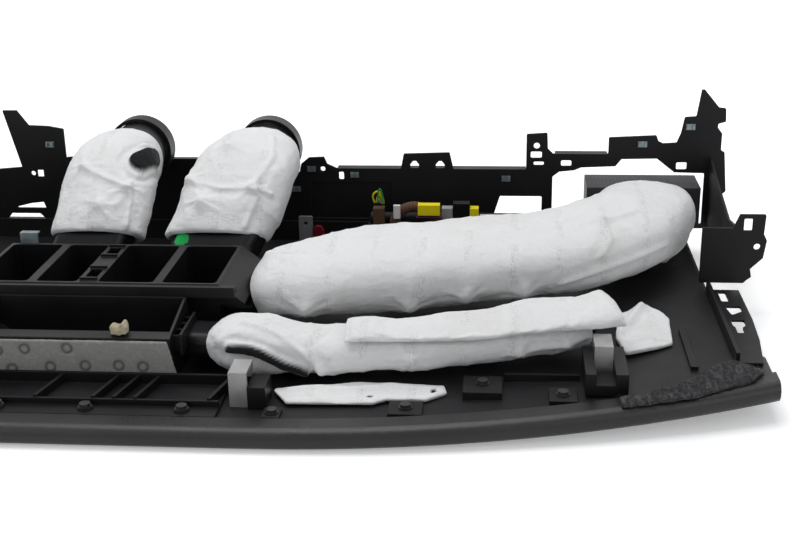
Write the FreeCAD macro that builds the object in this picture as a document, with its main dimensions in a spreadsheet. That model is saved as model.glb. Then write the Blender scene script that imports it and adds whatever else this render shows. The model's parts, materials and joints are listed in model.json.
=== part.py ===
import FreeCAD, Part
import math
import os
import Sketcher

# Upper instrument panel of a left-hand-drive car, laid upside-down on its padded
# top.  X runs along the car's width (+X is the passenger end), Y from the
# windscreen lip (-Y) to the cabin face (+Y), Z up from the floor under the skin.
# Lengths are millimetres.

Vector = FreeCAD.Vector
doc = FreeCAD.newDocument("dashboard")


# The driving dimensions

SIZES = {
    # crowned top skin and its rolled windscreen lip
    "flat_half": 200,
    "rise_radius": 7110,
    "lip_reach": 309,
    "lip_end_radius": 1620,
    "lip_radius": 11,
    "lip_return": 20,
    "skin_wall": 14,
    "brow_reach": 304,
    "brow_radius": 22,
    "brow_height": 25,
    "skin_half": 702,
    "ear_half": 733,
    "ear_depth": 62,
    "ear_round": 24,
    "seat_gap": 0.3,
    "loose_gap": 0.8,
    "skin_gap": 0.8,
    # carrier under the skin
    "carrier_wall": 3,
    "carrier_half": 698,
    "upstand_top": 46,
    "lip_inset": 21.5,
    # slotted face frame
    "face_reach": 274,
    "face_wall": 3,
    "face_low": 40,
    "face_split": -156,
    "face_gap": 0.4,
    "rail_top": 122,
    "bar_top": 144,
    "bar_low": 121,
    "flange_deep": 13,
    "flange_wall": 2.6,
    "window_low": 46,
    "window_top": 84,
    "post_left": 507,
    "post_wide": 14,
    "column_left": 724,
    "tab_high": 21,
    "tall_tab_left": 485,
    "tall_tab_wide": 28,
    "tall_tab_top": 173,
    "cluster_left": -545,
    "cluster_right": -300,
    "cluster_low": 66,
    "cluster_top": 130,
    "cluster_rail": 148,
    "left_rail_top": 118,
    "bezel_deep": 26,
    "bezel_wall": 3,
    # air manifold for the vents
    "vents_half": 142,
    "vents_near": -112,
    "vents_far": 20,
    "vents_top": 95,
    "vents_wall": 4,
    "vents_floor": 6,
    "cell_outer": 77,
    "cell_inner": 67,
    "divider_left": -20,
    "divider_right": 4,
    "wing_reach": 28,
    "wing_drop": 22,
    "bar_deep": 14,
    "bar_thick": 8,
    # defroster trough in front of the manifold
    "trough_half": 110,
    "trough_near": -208,
    "trough_far": -127,
    "trough_far_top": 86,
    "trough_near_top": 72,
    "trough_wall": 3,
    "trough_rim": 12,
    "nozzle_near": -288,
    "nozzle_half": 172,
    "nozzle_thick": 4,
    "felt_wall": 4,
    "felt_top": 68,
    "corner_felt_wall": 3,
    # centre outlets
    "outlet_radius": 37,
    "collar_wide": 6,
    "collar_deep": 24,
    "outlet_rise": 160,
    "outlet_reach": 236,
    "left_outlet": -34,
    "right_outlet": 141,
    "duct_wall": 2.5,
    "pad_wall": 16,
    # passenger outlet
    "mouth_left": 566,
    "mouth_right": 716,
    "mouth_low": 50,
    "mouth_top": 106,
    "mouth_near": 240,
    "mouth_far": 304,
    "mouth_wall": 3,
    "duct_half": 62,
    "duct_tall": 34,
    # ends
    "side_inner": 698.3,
    "side_outer": 737,
    "side_near": -168,
    "side_far": 44,
    "side_wall": 3,
    "ridge_high": 14,
    "end_wall_x": 733,
    "end_plate_y": 47,
    "end_plate_left": 690,
    "end_plate_right": 766,
    "end_plate_top": 131,
    "end_plate_low": 45,
    # steel airbag straps
    "strap_wide": 19,
    "strap_wall": 2.5,
    "strap_left_x": 181,
    "strap_left_y": -258,
    "strap_right_x": 550,
    "strap_right_y": -198,
    "strap_high": 38,
    "strap_top_deep": 34,
    "block_high": 24,
    "block_foot": 12,
    # fixings
    "screw_head": 5.5,
    "screw_high": 3.2,
    "boss_high": 8,
    "clip_wide": 12,
    "clip_high": 8,
    "clip_deep": 4,
    # harness behind the passenger duct
    "trunk_radius": 7,
    "tray_near": 203,
    "tray_far": 238,
    "tray_left": 272,
    "tray_right": 488,
    "tray_top": 58,
    "tray_wall": 2.5,
    "arch_radius": 27,
    "arch_tube": 7,
}


class Size:
    """A length worked out from the sheet: its value and the formula that gives it."""

    def __init__(self, value, text=None):
        self.value = float(value)
        self.text = text or repr(float(value))

    def __add__(self, other):
        other = as_size(other)
        return Size(self.value + other.value, "(%s + %s)" % (self.text, other.text))

    def __radd__(self, other):
        return as_size(other) + self

    def __sub__(self, other):
        other = as_size(other)
        return Size(self.value - other.value, "(%s - %s)" % (self.text, other.text))

    def __rsub__(self, other):
        return as_size(other) - self

    def __mul__(self, other):
        other = as_size(other)
        return Size(self.value * other.value, "(%s * %s)" % (self.text, other.text))

    def __rmul__(self, other):
        return as_size(other) * self

    def __truediv__(self, other):
        other = as_size(other)
        return Size(self.value / other.value, "(%s / %s)" % (self.text, other.text))

    def __neg__(self):
        return as_size(0) - self


def as_size(number):
    return number if isinstance(number, Size) else Size(number)


def write_sheet():
    table = doc.addObject("Spreadsheet::Sheet", "Sizes")
    table.Label = "Sizes"
    for row, (alias, number) in enumerate(SIZES.items(), 1):
        table.set("A%d" % row, alias)
        table.set("B%d" % row, str(number))
        table.setAlias("B%d" % row, alias)
    doc.recompute()
    return table


sheet = write_sheet()


class Named:
    """Reads a size from the sheet by its alias."""

    def __getattr__(self, alias):
        return Size(sheet.get(alias), "Sizes." + alias)


s = Named()
pieces = {}


# Small builders

def bind(thing, prop, length):
    length = as_size(length)
    thing.setExpression(prop, length.text)


def place(thing, x=0, y=0, z=0):
    bind(thing, "Placement.Base.x", x)
    bind(thing, "Placement.Base.y", y)
    bind(thing, "Placement.Base.z", z)
    return thing


def span_box(name, x0, x1, y0, y1, z0, z1):
    """A block between two corners."""
    block = doc.addObject("Part::Box", name)
    bind(block, "Length", as_size(x1) - x0)
    bind(block, "Width", as_size(y1) - y0)
    bind(block, "Height", as_size(z1) - z0)
    return place(block, x0, y0, z0)


TURNS = {
    "z": FreeCAD.Rotation(),
    "y": FreeCAD.Rotation(Vector(1, 0, 0), -90),
    "x": FreeCAD.Rotation(Vector(0, 1, 0), 90),
}


def rod(name, x, y, z, radius, length, along="z"):
    """A round bar from a point along one axis."""
    bar = doc.addObject("Part::Cylinder", name)
    bind(bar, "Radius", radius)
    bind(bar, "Height", length)
    bar.Placement = FreeCAD.Placement(Vector(), TURNS[along])
    return place(bar, x, y, z)


def fuse(name, things):
    joined = doc.addObject("Part::MultiFuse", name)
    joined.Shapes = things
    joined.Refine = True
    return joined


def cut(name, base, tools):
    result = doc.addObject("Part::Cut", name)
    result.Base = base
    result.Tool = tools[0] if len(tools) == 1 else fuse(name + "_tools", tools)
    result.Refine = True
    return result


def common(name, base, tool):
    result = doc.addObject("Part::Common", name)
    result.Base = base
    result.Tool = tool
    result.Refine = True
    return result


def group(name, things):
    """Separate solids that share one node."""
    kept = doc.addObject("Part::Compound", name)
    kept.Links = things
    return kept


def keep(node, thing):
    thing.Label = node
    pieces[node] = thing
    return thing


def bound_point(edge, end, x, y, rules):
    """Two signed distances from the sketch's origin, each with its formula."""
    for kind, length in (("DistanceX", x), ("DistanceY", y)):
        length = as_size(length)
        rules.append((Sketcher.Constraint(kind, -1, 1, edge, end, length.value), length.text))


def draw_loop(sketch, points, rules):
    """A closed chain of lines whose corners are bound to the sheet."""
    first = sketch.GeometryCount
    count = len(points)
    spots = [Vector(as_size(x).value, as_size(y).value, 0) for x, y in points]
    sketch.addGeometry([Part.LineSegment(spots[i], spots[(i + 1) % count]) for i in range(count)])
    for i in range(count):
        rules.append((Sketcher.Constraint("Coincident", first + i, 2, first + (i + 1) % count, 1), None))
    for i, (x, y) in enumerate(points):
        bound_point(first + i, 1, x, y, rules)


def draw_circle(sketch, x, y, radius, rules):
    x, y, radius = as_size(x), as_size(y), as_size(radius)
    ring = Part.Circle(Vector(x.value, y.value, 0), Vector(0, 0, 1), radius.value)
    index = sketch.addGeometry(ring)
    bound_point(index, 3, x, y, rules)
    rules.append((Sketcher.Constraint("Radius", index, radius.value), radius.text))


def apply_rules(sketch, rules):
    first = sketch.ConstraintCount
    sketch.addConstraint([rule for rule, formula in rules])
    for index, (rule, formula) in enumerate(rules, first):
        if formula and "Sizes" in formula:
            sketch.setExpression("Constraints[%d]" % index, formula)


def oblong(x0, x1, y0, y1):
    return [(x0, y0), (x1, y0), (x1, y1), (x0, y1)]


def plate(name, plane, outline, thick, loops=(), circles=(), shift=(0, 0, 0), rounds=0.0):
    """A flat plate: one sketch with its holes, padded; rounds eases its corners."""
    body = doc.addObject("PartDesign::Body", name)
    sketch = body.newObject("Sketcher::SketchObject", name + "_sketch")
    support = [item for item in body.Origin.OriginFeatures if item.Role == plane]
    sketch.AttachmentSupport = [(support[0], "")]
    sketch.MapMode = "FlatFace"
    rules = []
    draw_loop(sketch, outline, rules)
    for loop in loops:
        draw_loop(sketch, loop, rules)
    for x, y, radius in circles:
        draw_circle(sketch, x, y, radius, rules)
    apply_rules(sketch, rules)
    doc.recompute()
    pad = body.newObject("PartDesign::Pad", name + "_pad")
    pad.Profile = sketch
    bind(pad, "Length", thick)
    doc.recompute()
    if rounds:
        ease_corners(body, pad, name, plane, rounds)
    place(body, *shift)
    return body


def ease_corners(body, pad, name, plane, radius):
    """Rounds those upright corners of a plate that have room for the radius."""
    axis = {"XY_Plane": Vector(0, 0, 1), "XZ_Plane": Vector(0, 1, 0), "YZ_Plane": Vector(1, 0, 0)}[plane]
    room = {}
    upright = []
    for number, edge in enumerate(pad.Shape.Edges, 1):
        if len(edge.Vertexes) != 2:
            continue
        ends = [v.Point for v in edge.Vertexes]
        keys = [tuple(round(c, 4) for c in end) for end in ends]
        way = ends[1] - ends[0]
        if edge.Curve.TypeId == "Part::GeomLine" and abs(way.normalize().dot(axis)) > 0.999:
            upright.append((number, keys))
            continue
        for key in keys:
            room[key] = min(room.get(key, 1e9), edge.Length)
    corners = ["Edge%d" % number for number, keys in upright if min(room.get(k, 1e9) for k in keys) > 2.3 * radius]
    if corners:
        easing = body.newObject("PartDesign::Fillet", name + "_rounds")
        easing.Base = (pad, corners)
        easing.Radius = radius
        body.Tip = easing
        doc.recompute()


def shaped(name, shape):
    """A free-form shape made from the sheet's sizes."""
    feature = doc.addObject("Part::Feature", name)
    feature.Shape = shape
    return feature


# The crown of the top

def rise(x):
    """Height that the crowned top has gained at x, on the way to either end."""
    x = as_size(x)
    if abs(x.value) <= s.flat_half.value:
        return as_size(0)
    out = (x if x.value > 0 else -x) - s.flat_half
    height = s.rise_radius.value - math.sqrt(s.rise_radius.value ** 2 - out.value ** 2)
    text = "(Sizes.rise_radius - sqrt(Sizes.rise_radius * Sizes.rise_radius - %s * %s))" % (out.text, out.text)
    return Size(height, text)


def lip_line(x):
    """Y of the windscreen lip's centre at x: straight in the middle, curved at the ends."""
    out = abs(x) - s.flat_half.value
    back = 0.0 if out <= 0 else s.lip_end_radius.value - math.sqrt(s.lip_end_radius.value ** 2 - out ** 2)
    return back - s.lip_reach.value


def deck(x):
    """Top face of the carrier at x, as the part lies."""
    return s.skin_wall + s.skin_gap + s.carrier_wall + rise(x)


def seat(x):
    """Where a piece rests on the carrier at x."""
    return deck(x) + s.seat_gap


def chain(points):
    """A closed wire through points; three points given together make an arc."""
    edges = []
    here = points[0]
    for step in list(points[1:]) + [points[0]]:
        if isinstance(step, tuple):
            edges.append(Part.Arc(here, step[0], step[1]).toShape())
            here = step[1]
        elif here.distanceToPoint(step) > 1e-6:
            edges.append(Part.LineSegment(here, step).toShape())
            here = step
    return Part.Wire(edges)


def skin_section(x):
    """Section of the padded skin across the car's length, at x."""
    y_lip = lip_line(x)
    low = rise(x).value
    r = s.lip_radius.value
    wall = s.skin_wall.value
    back = s.brow_reach.value
    bend = s.brow_radius.value
    top = low + s.brow_height.value
    inner = y_lip + s.lip_return.value
    half = math.sqrt(0.5)

    def at(y, z):
        return Vector(x, y, z)

    return chain([
        at(inner, low + 2 * r),
        at(y_lip, low + 2 * r),
        (at(y_lip - r, low + r), at(y_lip, low)),
        at(back - bend, low),
        (at(back - bend + bend * half, low + bend - bend * half), at(back, low + bend)),
        at(back, top),
        at(back - wall, top),
        at(back - wall, low + bend),
        (
            at(back - bend + (bend - wall) * half, low + bend - (bend - wall) * half),
            at(back - bend, low + wall),
        ),
        at(inner, low + wall),
    ])


def along_stations(reach, count=6):
    start = s.flat_half.value
    return [start + (reach - start) * i / count for i in range(count + 1)]


def make_skin():
    """The crowned skin: a straight middle and two lofted ends, trimmed in plan."""
    reach = s.ear_half.value
    middle = skin_section(-s.flat_half.value)
    shape = Part.Face(middle).extrude(Vector(2 * s.flat_half.value, 0, 0))
    for side in (1, -1):
        end = Part.makeLoft([skin_section(side * x) for x in along_stations(reach)], True, False)
        shape = shape.fuse(end)
    return shape.removeSplitter()


def skin_trim():
    """Plan outline of the skin: ears at the lip's ends, narrower behind them."""
    half = s.skin_half
    ear = s.ear_half
    corner = -s.lip_reach - s.lip_radius - 20
    y_end = Size(lip_line(ear.value) - s.lip_radius.value)
    ear_back = y_end + s.ear_depth + s.ear_round
    back = s.brow_reach + 10
    points = [(-ear, corner), (ear, corner), (ear, ear_back), (half, ear_back + 26), (half, back), (-half, back)]
    points += [(-half, ear_back + 26), (-ear, ear_back)]
    return plate("skin_plan", "XY_Plane", points, 200, shift=(0, 0, -20), rounds=s.ear_round.value * 0.4)


def make_skin_piece():
    raw = shaped("skin_form", make_skin())
    skin = common("skin", raw, skin_trim())
    keep("dash_skin", skin)


def crowned_sheet(low, thick, y0, y1, reach):
    """A sheet that follows the crown, from y0 to y1 and out to reach on both sides."""
    flat = s.flat_half.value

    def line(level, side, back=False):
        outer = Vector(side * reach, y0, level + rise(reach).value)
        inner = Vector(side * flat, y0, level)
        x_mid = side * (flat + reach) / 2
        mid = Vector(x_mid, y0, level + rise(x_mid).value)
        ends = (inner, outer) if not back else (outer, inner)
        return Part.Arc(ends[0], mid, ends[1]).toShape()

    under = low
    over = low + thick
    edges = [
        line(under, -1, True),
        Part.LineSegment(Vector(-flat, y0, under), Vector(flat, y0, under)).toShape(),
        line(under, 1),
        Part.LineSegment(
            Vector(reach, y0, under + rise(reach).value), Vector(reach, y0, over + rise(reach).value)
        ).toShape(),
        line(over, 1, True),
        Part.LineSegment(Vector(flat, y0, over), Vector(-flat, y0, over)).toShape(),
        line(over, -1),
        Part.LineSegment(
            Vector(-reach, y0, over + rise(reach).value), Vector(-reach, y0, under + rise(reach).value)
        ).toShape(),
    ]
    return Part.Face(Part.Wire(edges)).extrude(Vector(0, y1 - y0, 0))


def crown_rib(name, x0, x1, y, thick, top, count):
    """An upright rib on the carrier whose foot follows the crown."""
    step = (x1 - x0) / count
    stops = [x0 + step * i for i in range(count + 1)]
    sunk = s.carrier_wall / 2
    foot = [(x, deck(x) - sunk) for x in stops]
    return plate(name, "XZ_Plane", foot + [(x1, top), (x0, top)], thick, shift=(0, y, 0))


def make_carrier():
    """The moulded carrier: a crowned sheet with tabs, ribs, bosses and a recess."""
    reach = s.carrier_half.value
    level = s.skin_wall.value + s.skin_gap.value
    y_front = -s.lip_reach.value
    back = s.face_reach.value - s.face_wall.value - s.seat_gap.value
    sheet_form = crowned_sheet(level, s.carrier_wall.value, y_front, back, reach)
    near = [Vector(x, lip_line(x) + s.lip_inset.value, 0) for x in (-reach, -450, -s.flat_half.value)]
    mirrored = [Vector(-p.x, p.y, 0) for p in reversed(near)]
    edges = [
        Part.Arc(near[0], near[1], near[2]).toShape(),
        Part.LineSegment(near[2], mirrored[0]).toShape(),
        Part.Arc(mirrored[0], mirrored[1], mirrored[2]).toShape(),
    ]
    right = Vector(reach, back, 0)
    left = Vector(-reach, back, 0)
    edges += [
        Part.LineSegment(mirrored[2], right).toShape(),
        Part.LineSegment(right, left).toShape(),
        Part.LineSegment(left, near[0]).toShape(),
    ]
    plan = Part.Face(Part.Wire(edges)).extrude(Vector(0, 0, 200))
    base = shaped("carrier_sheet", sheet_form.common(plan))
    parts = [base]

    # rear upstand that carries the face frame
    foot = s.face_reach - s.face_wall - s.seat_gap
    half = s.carrier_half
    parts.append(crown_rib("upstand", -half, half, foot, s.carrier_wall, s.upstand_top, 16))
    # long rib near each end, and the step beside it
    for side in (-1, 1):
        x0 = side * s.side_inner * 0.932
        parts.append(span_box("cross_rib", x0, x0 + 8, -180, -78, deck(600), deck(x0) + 5))
        a, b = (458, 536) if side > 0 else (-590, -458)
        parts.append(crown_rib("step_rib", as_size(a), as_size(b), -192, 4, deck(600) + 3, 4))

    # raised mounting pads with their screw bosses, just behind the lip
    for x, wide, long in MOUNT_PADS:
        low = deck(abs(x) - wide / 2) - 2
        near = pad_near(x, wide)
        parts.append(span_box("mount_pad", x - wide / 2, x + wide / 2, near, near + long, low, pad_top(x)))
    # the boss block beside the airbag straps
    parts.append(span_box("boss_block", 416, 456, -238, BOSS_FAR, deck(400) - 1, deck(456) + s.boss_high))
    body = fuse("carrier_solid", parts)
    keep("dash_carrier", body)


# x, width and depth of the raised pads that take a screw, along the lip
MOUNT_PADS = [
    (-517, 28, 32),
    (-360, 34, 30),
    (-227, 18, 22),
    (227, 18, 22),
    (360, 34, 30),
    (517, 28, 32),
]
BOSS_FAR = -198


def pad_near(x, wide):
    """Y at which a raised pad starts, clear of the lip's return."""
    return lip_line(abs(x) + wide / 2) + s.lip_return.value + 2


def pad_top(x):
    return deck(abs(x) + 20) + 4


# The slotted face frame

def rail_points():
    """Top edge of the passenger half of the frame, from the centre outwards."""
    rail = s.rail_top
    bar = s.bar_top
    tab = s.tab_high
    tall = s.tall_tab_left
    return [
        (s.face_split + s.face_gap, 136),
        (44, 134),
        (58, 112),
        (150, 112),
        (173, rail - 6),
        (176, rail + 6),
        (187, rail + tab - 6),
        (208, rail + tab - 5),
        (212, rail + 6),
        (225, rail),
        (314, rail),
        (318, rail + tab),
        (381, rail + tab + 2),
        (386, rail),
        (tall, rail),
        (tall, s.tall_tab_top - 2),
        (tall + s.tall_tab_wide, s.tall_tab_top),
        (tall + s.tall_tab_wide + 1, bar + 7),
        (tall + s.tall_tab_wide + 8, bar),
        (595, bar),
        (595, bar + 23),
        (658, bar + 26),
        (661, bar + 18),
        (667, bar + 15),
        (685, bar + 16),
        (690, bar + 29),
        (694, bar + 51),
        (709, bar + 52),
        (714, bar + 88),
        (718, bar + 88),
        (738, bar + 64),
        (747, bar + 63),
        (748, bar + 45),
        (738, bar + 42),
        (738, bar + 37),
        (744, bar + 29),
        (744, bar + 6),
        (749, bar + 3),
        (754, 93),
        (745, 85),
        (757, 58),
        (760, s.face_low),
        (s.face_split + s.face_gap, s.face_low),
    ]


def make_face_frame():
    low = s.face_low
    opening = [
        (s.post_left + s.post_wide, s.window_low),
        (s.column_left, s.window_low),
        (s.column_left, s.bar_low - 3),
        (684, s.bar_low - 2),
        (670, s.bar_low + 9),
        (660, s.bar_low + 17),
        (613, s.bar_low + 16),
        (605, s.bar_low + 6),
        (559, s.bar_low + 4),
        (550, s.bar_low),
        (530, s.bar_low - 2),
        (s.post_left + s.post_wide, s.bar_low - 9),
    ]
    window = [(438, s.window_low), (s.post_left, s.window_low), (s.post_left, s.window_top), (450, s.window_top)]
    rail = s.rail_top
    tall = s.tall_tab_left + s.tall_tab_wide / 2
    loops = [
        opening,
        window,
        oblong(228, 235, rail - 16, rail - 5),
        oblong(tall - 8, tall + 7, s.bar_top - 6, s.bar_top + 3),
        oblong(tall - 4, tall + 10, s.bar_top - 16, s.bar_top - 11),
        oblong(532, 546, s.bar_top - 17, s.bar_top - 9),
        oblong(686, 700, s.bar_low + 2, s.bar_low + 12),
        [(327, rail + 1), (339, rail + 1), (339, rail + 6), (335, rail + 11), (331, rail + 11), (327, rail + 6)],
        [(362, rail + 1), (374, rail + 1), (374, rail + 6), (370, rail + 11), (366, rail + 11), (362, rail + 6)],
    ]
    circles = [(206, rail - 1, 3.4), (tall, s.tall_tab_top - 18, 4.2)]
    skin = plate(
        "face_plate", "XZ_Plane", rail_points(), s.face_wall, loops, circles,
        shift=(0, s.face_reach, 0), rounds=2.0,
    )
    y0 = s.face_reach - 0.5
    y1 = s.face_reach + s.flange_deep
    wall = s.flange_wall
    left = s.face_split + s.face_gap
    parts = [
        skin,
        span_box("rail_flange", 226, s.tall_tab_left, y0, y1, rail - wall, rail),
        span_box("bar_flange", 524, 594, y0, y1, s.bar_top - wall, s.bar_top),
        span_box("low_flange", left, s.column_left, y0, y1, low, low + wall),
        span_box("window_head", 451, s.post_left, y0, y1, s.window_top, s.window_top + wall),
        span_box("post_rib", s.post_left + 5.5, s.post_left + 5.5 + wall, y0, y1, low, s.bar_low - 10),
        span_box("column_rib", 731, 731 + wall, y0, y1, low, s.bar_top + 30),
        span_box("centre_flange", left, 43, y0, y1, 130, 130 + wall),
    ]
    pocket = span_box("recess", 188, 300, s.face_reach - s.face_wall - 1, s.face_reach - 1.6, 50, 102)
    frame = cut("face_cut", fuse("face_solid", parts), [pocket])
    keep("front_frame", frame)


def make_cluster_frame():
    """Driver's half: its inner end as seen, the rest finished plainly."""
    low = s.face_low
    split = s.face_split
    top = s.left_rail_top
    outline = [
        (split, low),
        (split, 176),
        (-178, 180),
        (-205, 181),
        (-220, 202),
        (-240, 202),
        (-221, 121),
        (-255, top),
        (s.cluster_right + 12, top),
        (s.cluster_right + 2, s.cluster_rail),
        (s.cluster_left - 2, s.cluster_rail),
        (s.cluster_left - 14, top + 12),
        (-706, top + 12),
        (-714, 190),
        (-739, 190),
        (-744, 173),
        (-744, 120),
        (-754, 93),
        (-745, 85),
        (-757, 58),
        (-760, low),
    ]
    window = oblong(s.cluster_left, s.cluster_right, s.cluster_low, s.cluster_top)
    vent = oblong(-s.column_left, -s.mouth_left + 6, s.window_low, s.mouth_top + 5)
    arch = [(-254, 43), (-196, 43), (-196, 46), (-203, 53), (-244, 53), (-250, 46)]
    slit = [(-242, 61), (-193, 61), (-196, 70), (-214, 68)]
    notch = oblong(-200, -191, 107, 117)
    skin = plate(
        "cluster_plate", "XZ_Plane", outline, s.face_wall, [window, vent, arch, slit, notch],
        [(-206, 112, 3.4)], shift=(0, s.face_reach, 0), rounds=1.0,
    )
    y0 = s.face_reach - 0.5
    y1 = s.face_reach + s.flange_deep
    wall = s.flange_wall
    parts = [
        skin,
        span_box("cluster_low_flange", -700, split, y0, y1, low, low + wall),
        span_box("cluster_rail_flange", s.cluster_left, s.cluster_right, y0, y1, s.cluster_rail - wall, s.cluster_rail),
        span_box("cluster_rib", -286, -286 + wall, y0, y1, low, top),
    ]
    keep("cluster_frame", fuse("cluster_solid", parts))


def ring_box(name, x0, x1, y0, y1, z0, z1, wall):
    """A four-sided sleeve, open along Y."""
    outer = span_box(name + "_outer", x0, x1, y0, y1, z0, z1)
    inner = span_box(
        name + "_inner", as_size(x0) + wall, as_size(x1) - wall, as_size(y0) - 5, as_size(y1) + 5,
        as_size(z0) + wall, as_size(z1) - wall,
    )
    return cut(name, outer, [inner])


def make_cluster_bezel():
    wall = s.bezel_wall
    gap = s.seat_gap
    sleeve = ring_box(
        "bezel_sleeve", s.cluster_left + gap, s.cluster_right - gap, s.face_reach - 20, s.face_reach + s.bezel_deep,
        s.cluster_low + gap, s.cluster_top - gap, wall,
    )
    keep("cluster_bezel", sleeve)


# Air manifold and defroster

def make_vent_manifold():
    """Four open cells in one moulding, with sloped wings and the clip bar in front."""
    floor = seat(0)
    top = s.vents_top
    near = s.vents_near
    far = s.vents_far
    half = s.vents_half
    wall = s.vents_wall
    wing = s.wing_reach
    drop = s.wing_drop
    profile = [
        (-half - wing, top - drop),
        (-half, top),
        (half, top),
        (half + wing, top - drop),
        (half + wing, top - drop - 3),
        (half, top - drop - 3),
        (half, floor),
        (-half, floor),
        (-half, top - drop - 3),
        (-half - wing, top - drop - 3),
    ]
    shell = plate("vent_shell", "XZ_Plane", profile, far - near, shift=(0, far, 0))
    low = floor + s.vents_floor
    bounds = [
        (-half + wall, -s.cell_outer),
        (-s.cell_inner, s.divider_left),
        (s.divider_right, s.cell_inner),
        (s.cell_outer, half - wall),
    ]
    cells = []
    for left, right in bounds:
        cells.append(
            plate("cell", "XY_Plane", oblong(left, right, near + wall, far - wall), 120, shift=(0, 0, low), rounds=5.0)
        )
    # clip pockets in the broad divider
    mid = (s.divider_left + s.divider_right) / 2
    cells.append(span_box("clip_pocket", mid - 7, mid + 7, near + 14, near + 44, top - 14, top + 5))
    cells.append(span_box("clip_pocket", mid - 7, mid + 7, far - 40, far - 14, top - 14, top + 5))
    # the two outer slants on the near corners of the wings
    body = cut("vent_cells", shell, cells)
    bar_low = top - s.bar_thick
    bar = span_box("clip_bar", -half - 20, half + 20, near - s.bar_deep, near + 1, bar_low, top - 1)
    lip = span_box("clip_lip", -half - 20, half + 20, near - s.bar_deep, near - s.bar_deep + 3, bar_low - 3, top + 1.5)
    divider_ribs = []
    for y in (near + 10, near + 48, far - 44, far - 10):
        divider_ribs.append(span_box("divider_rib", mid - 10, mid + 10, y - 1.5, y + 1.5, top - 1, top + 3))
    keep("vent_manifold", fuse("vent_solid", [body, bar, lip] + divider_ribs))


def make_trough():
    """Defroster trough: one open moulding, its rim lower on the windscreen side."""
    floor = seat(0)
    near = s.trough_near
    far = s.trough_far
    wall = s.trough_wall
    rim = s.trough_rim
    profile = [
        (far, floor),
        (far, s.trough_far_top),
        (far - 8, s.trough_far_top),
        (near + 6, s.trough_near_top),
        (near, s.trough_near_top - 2),
        (near, floor),
    ]
    half = s.trough_half
    outer = plate("trough_outer", "YZ_Plane", profile, 2 * half, shift=(-half, 0, 0), rounds=0)
    inside = [
        (far - wall, floor + wall),
        (far - wall, 140),
        (near + rim, 140),
        (near + rim, s.trough_near_top - 14),
        (near + wall, s.trough_near_top - 18),
        (near + wall, floor + wall),
    ]
    inner = plate("trough_inner", "YZ_Plane", inside, 2 * (half - wall), shift=(wall - half, 0, 0))
    hollow = cut("trough_hollow", outer, [inner])
    # sloped air guides inside both ends
    guides = []
    for side in (-1, 1):
        a = side * (half - wall - 48)
        b = side * (half - wall + 0.5)
        slope = [(a, floor + 1), (b, floor + 1), (b, floor + 34), (b - side * 4, floor + 34)]
        guides.append(
            plate("air_guide", "XZ_Plane", slope, far - near - 2 * wall + 1, shift=(0, far - wall + 0.5, 0))
        )
    # ladder ribs on the two side rims
    rungs = []
    for side in (-1, 1):
        x0 = half if side > 0 else -half - 9
        for i in range(4):
            y = near + 14 + 17 * i
            rungs.append(span_box("rung", x0 - 0.5, x0 + 9.5, y, y + 3, s.trough_near_top - 22, s.trough_near_top - 4))
        rail_x = half + 8 if side > 0 else -half - 11
        rungs.append(
            span_box("rung_rail", rail_x, rail_x + 3, near + 8, near + 72, s.trough_near_top - 24, s.trough_near_top)
        )
    keep("defroster_manifold", fuse("trough_solid", [hollow] + guides + rungs))


def make_nozzle():
    """Low defroster nozzle plate between the trough and the lip, with slanted ribs."""
    low = seat(s.nozzle_half)
    near = s.nozzle_near
    far = s.trough_near - s.felt_wall - 2 * s.seat_gap
    half = s.nozzle_half
    thick = s.nozzle_thick
    base = span_box("nozzle_base", -half, half, near, far, low, low + thick)
    ribs = [base]
    for x, lean in ((-150, -12), (-96, -12), (-20, 12), (40, 12), (62, 12), (84, 12), (160, 12)):
        points = [(x, near + 22), (x + 4, near + 22), (x + lean + 4, far - 2), (x + lean, far - 2)]
        ribs.append(plate("slant_rib", "XY_Plane", points, 10, shift=(0, 0, low + thick - 0.5)))
    for y, high in ((near + 20, 7), (far - 4, 12)):
        ribs.append(span_box("nozzle_edge", -half, half, y, y + 3, low + thick - 0.5, low + thick + high))
    for x in NOZZLE_SCREWS:
        ribs.append(rod("nozzle_boss", x, near + 12, low + thick - 0.5, 8, 2.5))
    keep("defroster_nozzle", fuse("nozzle_solid", ribs))


NOZZLE_SCREWS = (-150, -55, 37, 136)


def make_felt():
    """Grey felt on the near wall of the trough, stepped where its left part is shorter."""
    y0 = s.trough_near - s.seat_gap
    low = seat(s.nozzle_half) + 4
    top = s.felt_top
    points = [
        (-s.trough_half - 2, low + 8),
        (4, low + 8),
        (8, low),
        (117, low),
        (107, top),
        (-s.trough_half - 2, top),
    ]
    keep("felt_manifold", plate("felt_sheet", "XZ_Plane", points, s.felt_wall, shift=(0, y0, 0), rounds=3.0))


# Ducts and their fleece pads

def round_section(centre, side, up, half_wide, half_tall, corner):
    """Rounded rectangle spanned by two unit directions."""
    r = min(corner, half_wide * 0.95, half_tall * 0.95)
    k = r * (1 - math.sqrt(0.5))

    def at(a, b):
        return centre + side * a + up * b

    w, h = half_wide, half_tall
    return chain([
        at(-w + r, -h), at(w - r, -h), (at(w - k, -h + k), at(w, -h + r)),
        at(w, h - r), (at(w - k, h - k), at(w - r, h)),
        at(-w + r, h), (at(-w + k, h - k), at(-w, h - r)),
        at(-w, -h + r), (at(-w + k, -h + k), at(-w + r, -h)),
    ])


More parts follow.
